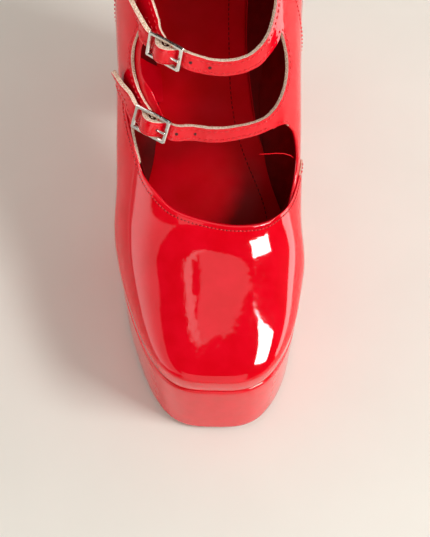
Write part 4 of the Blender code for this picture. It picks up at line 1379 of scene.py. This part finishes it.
# ---- insole
INSOLE_INNER = (
    # s, x of the pad's inner edge
    (0, 16), (30, 17), (59, 16.5), (75, 16.4), (91, 18.7), (102, 21), (111, 24), (121, 30.2), (133, 39.2),
    (160, 42), (200, 34), (224, 26),
)
(pad_edge,) = splines(INSOLE_INNER)
# The strip between the pad and the wall takes the dark lining colour, which paints the shade there.
PAD_COLUMNS = 44           # columns of the pad; the rest is the lining beside it
PAD_HEIGHT, PAD_CROWN, PAD_STEP = 3.2, 0.9, 1.3
LINING_SLOPE, LINING_CURVE = 0.42, 0.012
FLOOR_RISE = 3.0           # height at which the floor meets the wall
WALL_CLEARANCE = 2.7
END_CLEARANCE = 3.2
stations = (1 - np.cos(np.linspace(0.0, math.pi, 110))) / 2
back_end, toe_end = float(seam[:, 1].min()) + END_CLEARANCE, float(seam[:, 1].max()) - END_CLEARANCE
floor_s = back_end + (toe_end - back_end) * stations
floor_in, floor_out = (half_width(floor_s, feather(floor_s) + FLOOR_RISE, side) - side * WALL_CLEARANCE
                       for side in (1.0, -1.0))


def pad_height(x, s, outer, edge):
    """Height of the padded insole, which is crowned between its two edges."""
    share = np.clip((x - outer) / np.maximum(edge - outer, 1), 0, 1)
    return feather(s) + PAD_HEIGHT + PAD_CROWN * np.sin(np.pi * share) ** 0.6


rows = []
for s, inner, outer in zip(floor_s, floor_in, floor_out):
    inner, outer = max(inner, 1.0), min(outer, -1.0)
    edge = min(float(pad_edge(s)), inner - 0.4)
    x = np.concatenate([
        np.linspace(outer, edge - 0.5, 40), np.linspace(edge - 0.35, edge + 0.55, 5),
        np.linspace(edge + 0.9, max(inner, edge + 1.2), 12),
    ])
    beyond_pad = np.maximum(x - edge - 0.5, 0)
    z = pad_height(x, s, outer, edge) - PAD_STEP * smoothstep(edge - 0.5, edge + 0.1, x)
    z = z + LINING_SLOPE * beyond_pad + LINING_CURVE * beyond_pad ** 2
    rows.append(np.column_stack([x, np.full(len(x), s), z]))
rows = np.array(rows)
under = rows.copy()
under[..., 2] = feather(rows[..., 1]) + 0.1
count, width = rows.shape[:2]
total = count * width
faces, kinds = [], []
for i in range(count - 1):
    for j in range(width - 1):
        a = i * width + j
        faces.append((a, a + 1, a + 1 + width, a + width))
        faces.append((total + a, total + a + width, total + a + 1 + width, total + a + 1))
        kinds += [int(j >= PAD_COLUMNS), 1]
numbers = np.arange(total).reshape(count, width)
border = np.concatenate([numbers[0], numbers[1:, -1], numbers[-1, -2::-1], numbers[-2:0:-1, 0]]).tolist()
faces += [(a, b, total + b, total + a) for a, b in zip(border, border[1:] + border[:1])]
kinds += [1] * len(border)
closed_piece(
    "padded_insole", frame_mm(np.concatenate([rows, under]).reshape(-1, 3)), faces, [INSOLE_LEATHER, LINING_AND_SHADE],
    "red_lining", "insole", indices=kinds, sharp=50,
)

INSOLE_ROWS = (
    # x, s
    ((9, 40), (8, 57), (8.5, 80), (11, 102), (17, 118), (26, 136), (30, 160)),
    ((-27, 40), (-29.5, 60), (-29.5, 83), (-30, 92), (-31, 115), (-33, 150)),
)
for row in INSOLE_ROWS:
    x, s = run(row, 1.0).T
    inner, outer = np.interp(s, floor_s, floor_in), np.interp(s, floor_s, floor_out)
    edge = np.minimum(pad_edge(s), inner - 0.4)
    points = frame_mm(np.stack([x, s, pad_height(x, s, outer, edge) + 0.1], -1))
    stitch_line(insole_seams, points, np.repeat([[0.0, 0.0, 1.0]], len(points), 0), 2.3)
insole_seams.make("insole_stitches", LINING_AND_SHADE, "red_lining")

# ---- floor, camera, light
floor_mesh = bpy.data.meshes.new("floor")
floor_mesh.from_pydata([(-9, -9, 0), (9, -9, 0), (9, 9, 0), (-9, 9, 0)], [], [(0, 1, 2, 3)])
floor = add_object("floor", floor_mesh)
floor_mesh.materials.append(paint(
    "floor_paper", (0.86, 0.855, 0.80), 0.55, bumps=((1.5, 0.02),),
    mottle=(60.0, (0.85, 0.845, 0.79), (0.87, 0.865, 0.81)),
    Specular_IOR_Level=0.2,
))

TARGET = np.array([3.6, 177.6, 60.0])
POSITION = np.array([3.6, 377.6, 406.4])
ROLL = math.radians(1.0)
camera_data = bpy.data.cameras.new("camera")
camera_data.sensor_width = 36.0
camera_data.lens = 59.33
camera_data.clip_start = 0.01
camera = add_object("camera", camera_data)
sight = Vector((frame_mm(TARGET) - frame_mm(POSITION)) * MM).normalized()
right = sight.cross(Vector((0, 0, 1))).normalized()
above = right.cross(sight)
turned = right * math.cos(ROLL) + above * math.sin(ROLL)
above = above * math.cos(ROLL) - right * math.sin(ROLL)
pose = Matrix((turned, above, -sight)).transposed().to_4x4()
pose.translation = Vector(frame_mm(POSITION) * MM)
camera.matrix_world = pose
bpy.context.scene.camera = camera


def toward(azimuth, elevation):
    """Row-frame direction: azimuth from the toe's direction towards the inner side."""
    a, e = math.radians(azimuth), math.radians(elevation)
    return Vector((math.sin(a) * math.cos(e), -math.cos(a) * math.cos(e), math.sin(e)))


WARM = (1.0, 0.97, 0.93)


def softbox(name, azimuth, elevation, distance, width, height, radiance,
            colour=WARM, side=None, hidden=("diffuse",)):
    """A rectangular light of a given brightness that faces the boot.

    side is a direction along the light's width, where that isn't level; hidden are
    the kinds of ray that don't meet the light.
    """
    light = bpy.data.lights.new(name, "AREA")
    light.shape = "RECTANGLE"
    light.size, light.size_y = width, height
    light.color = colour
    light.energy = radiance * math.pi * width * height
    made = add_object(name, light)
    facing_way = toward(azimuth, elevation)
    made.location = Vector((0.0, -0.03, 0.09)) + facing_way * distance
    width_way = side or Vector((0, 0, 1)).cross(facing_way)
    width_way = (width_way - facing_way * width_way.dot(facing_way)).normalized()
    axes = Matrix((width_way, facing_way.cross(width_way), facing_way)).transposed()
    made.rotation_euler = axes.to_euler()
    for kind in hidden:
        setattr(made, "visible_" + kind, False)


# The key's mirror image on the toe and its light on everything else, then cards
# that only show in the patent.
softbox("key_shine", 62.5, 51, 1.2, 0.47, 0.30, 36.0, side=Vector((0.8, 0.0, -0.6)))
softbox("key_light", 68, 43, 1.2, 0.40, 0.27, 27.0, (1.0, 0.98, 0.95), hidden=("glossy",))
softbox("right_card", 97, 5, 1.3, 1.1, 0.42, 6.0)
softbox("front_card", 20, 6, 1.3, 1.2, 0.36, 0.45)
softbox("toe_card", 0, 17, 0.22, 0.16, 0.18, 1.0, hidden=("diffuse", "camera"))

world = bpy.data.worlds.new("studio")
bpy.context.scene.world = world
world.use_nodes = True
studio = world.node_tree
studio.nodes.clear()
heading = add_node(studio, "TexCoord", {}).outputs["Generated"]
ripple = add_node(studio, "TexNoise", {"Vector": heading, "Scale": 28.0, "Detail": 3.0}).outputs["Fac"]


def beyond(right_share, front_share, up_share, soft=0.02, ragged=0.0):
    """1 on one side of a plane through the boot, 0 on the other; its edge can be uneven."""
    plane = Vector((right_share, -front_share, up_share)).normalized()
    edge = add_node(studio, "VectorMath", {0: heading, 1: plane}, operation="DOT_PRODUCT").outputs["Value"]
    if ragged:
        uneven = add_node(studio, "Math", {0: ripple, 1: ragged, 2: edge}, operation="MULTIPLY_ADD")
        edge = uneven.outputs["Value"]
    limits = {"Value": edge, "From Min": ragged / 2 - soft, "From Max": ragged / 2 + soft}
    return add_node(studio, "MapRange", limits, interpolation_type="SMOOTHSTEP").outputs["Result"]


def both(*masks):
    """Several masks at once."""
    result = masks[0]
    for mask in masks[1:]:
        result = add_node(studio, "Math", {0: result, 1: mask}, operation="MULTIPLY").outputs["Value"]
    return result


def layered(below, mask, colour):
    """A colour laid over another through a mask."""
    return add_node(studio, "Mix", {"Factor": mask, 6: below, 7: colour}, data_type="RGBA").outputs[2]


def grey(value, tint=(1.0, 0.97, 0.94)):
    """A nearly neutral light of one brightness."""
    return (*(value * t for t in tint), 1.0)


def chosen(ray, otherwise, light):
    """One light for a kind of ray, another for the rest."""
    path = add_node(studio, "LightPath", {}).outputs[ray]
    return add_node(studio, "MixShader", {0: path, 1: otherwise, 2: light}).outputs["Shader"]


def background(colour):
    """Light of a colour from all round."""
    return add_node(studio, "Background", {"Color": colour}).outputs["Background"]


# What the patent reflects: dark overhead, a bright wall on the left with a
# straight edge, and a window near the top with a bright strip beside it.
wall = both(beyond(-1.0, 0.444, -0.897, 0.015), beyond(-0.41, -1.0, 0.77, 0.02))
far_wall = both(wall, beyond(-1.0, -0.3, 0.1, 0.35), beyond(-1.0, -0.3, -1.6, 0.35))
wall_line = both(wall, beyond(0.0, 0.0, 1.0, 0.02), beyond(-0.12, 0.0, -1.0, 0.02))
window = both(
    beyond(1.0, 0.0, 0.08, 0.01), beyond(-1.0, 0.0, 0.55, 0.02), beyond(-0.45, -1.0, 0.265, 0.01, 0.02),
    beyond(0.0, 1.0, 0.7, 0.1),
)
strip = both(
    beyond(1.0, -1.1, 0.40, 0.01, 0.12), beyond(-1.0, 0.8, -0.26, 0.01, 0.10), beyond(0.0, -1.0, 0.28, 0.02),
    beyond(0.0, 1.0, 0.3, 0.1),
)
reflected = grey(0.04)
behind_boot = beyond(0.0, -1.0, -0.3, 0.3)
for mask, brightness in (
    (behind_boot, 0.3), (wall, 0.95), (far_wall, 3.2), (wall_line, 0.5), (window, 1.1), (strip, 2.4),
):
    reflected = layered(reflected, mask, grey(brightness))

# Daylight that fills shadows comes mostly from low down, so little of it gets into the boot.
FILL_LOW, FILL_HIGH = (math.sin(math.radians(elevation)) for elevation in (34, 52))
upward = add_node(studio, "SeparateXYZ", {"Vector": heading}).outputs["Z"]
height = add_node(studio, "MapRange", {"Value": upward, "From Min": FILL_LOW, "From Max": FILL_HIGH})
ambient = layered(grey(1.18, (1.0, 0.94, 0.87)), height.outputs["Result"], grey(0.08))
lit = chosen("Is Glossy Ray", background(ambient), background(reflected))
shown = chosen("Is Camera Ray", lit, background((0.86, 0.80, 0.74, 1.0)))
add_node(studio, "OutputWorld", {"Surface": shown})

bpy.context.scene.view_settings.view_transform = "Standard"
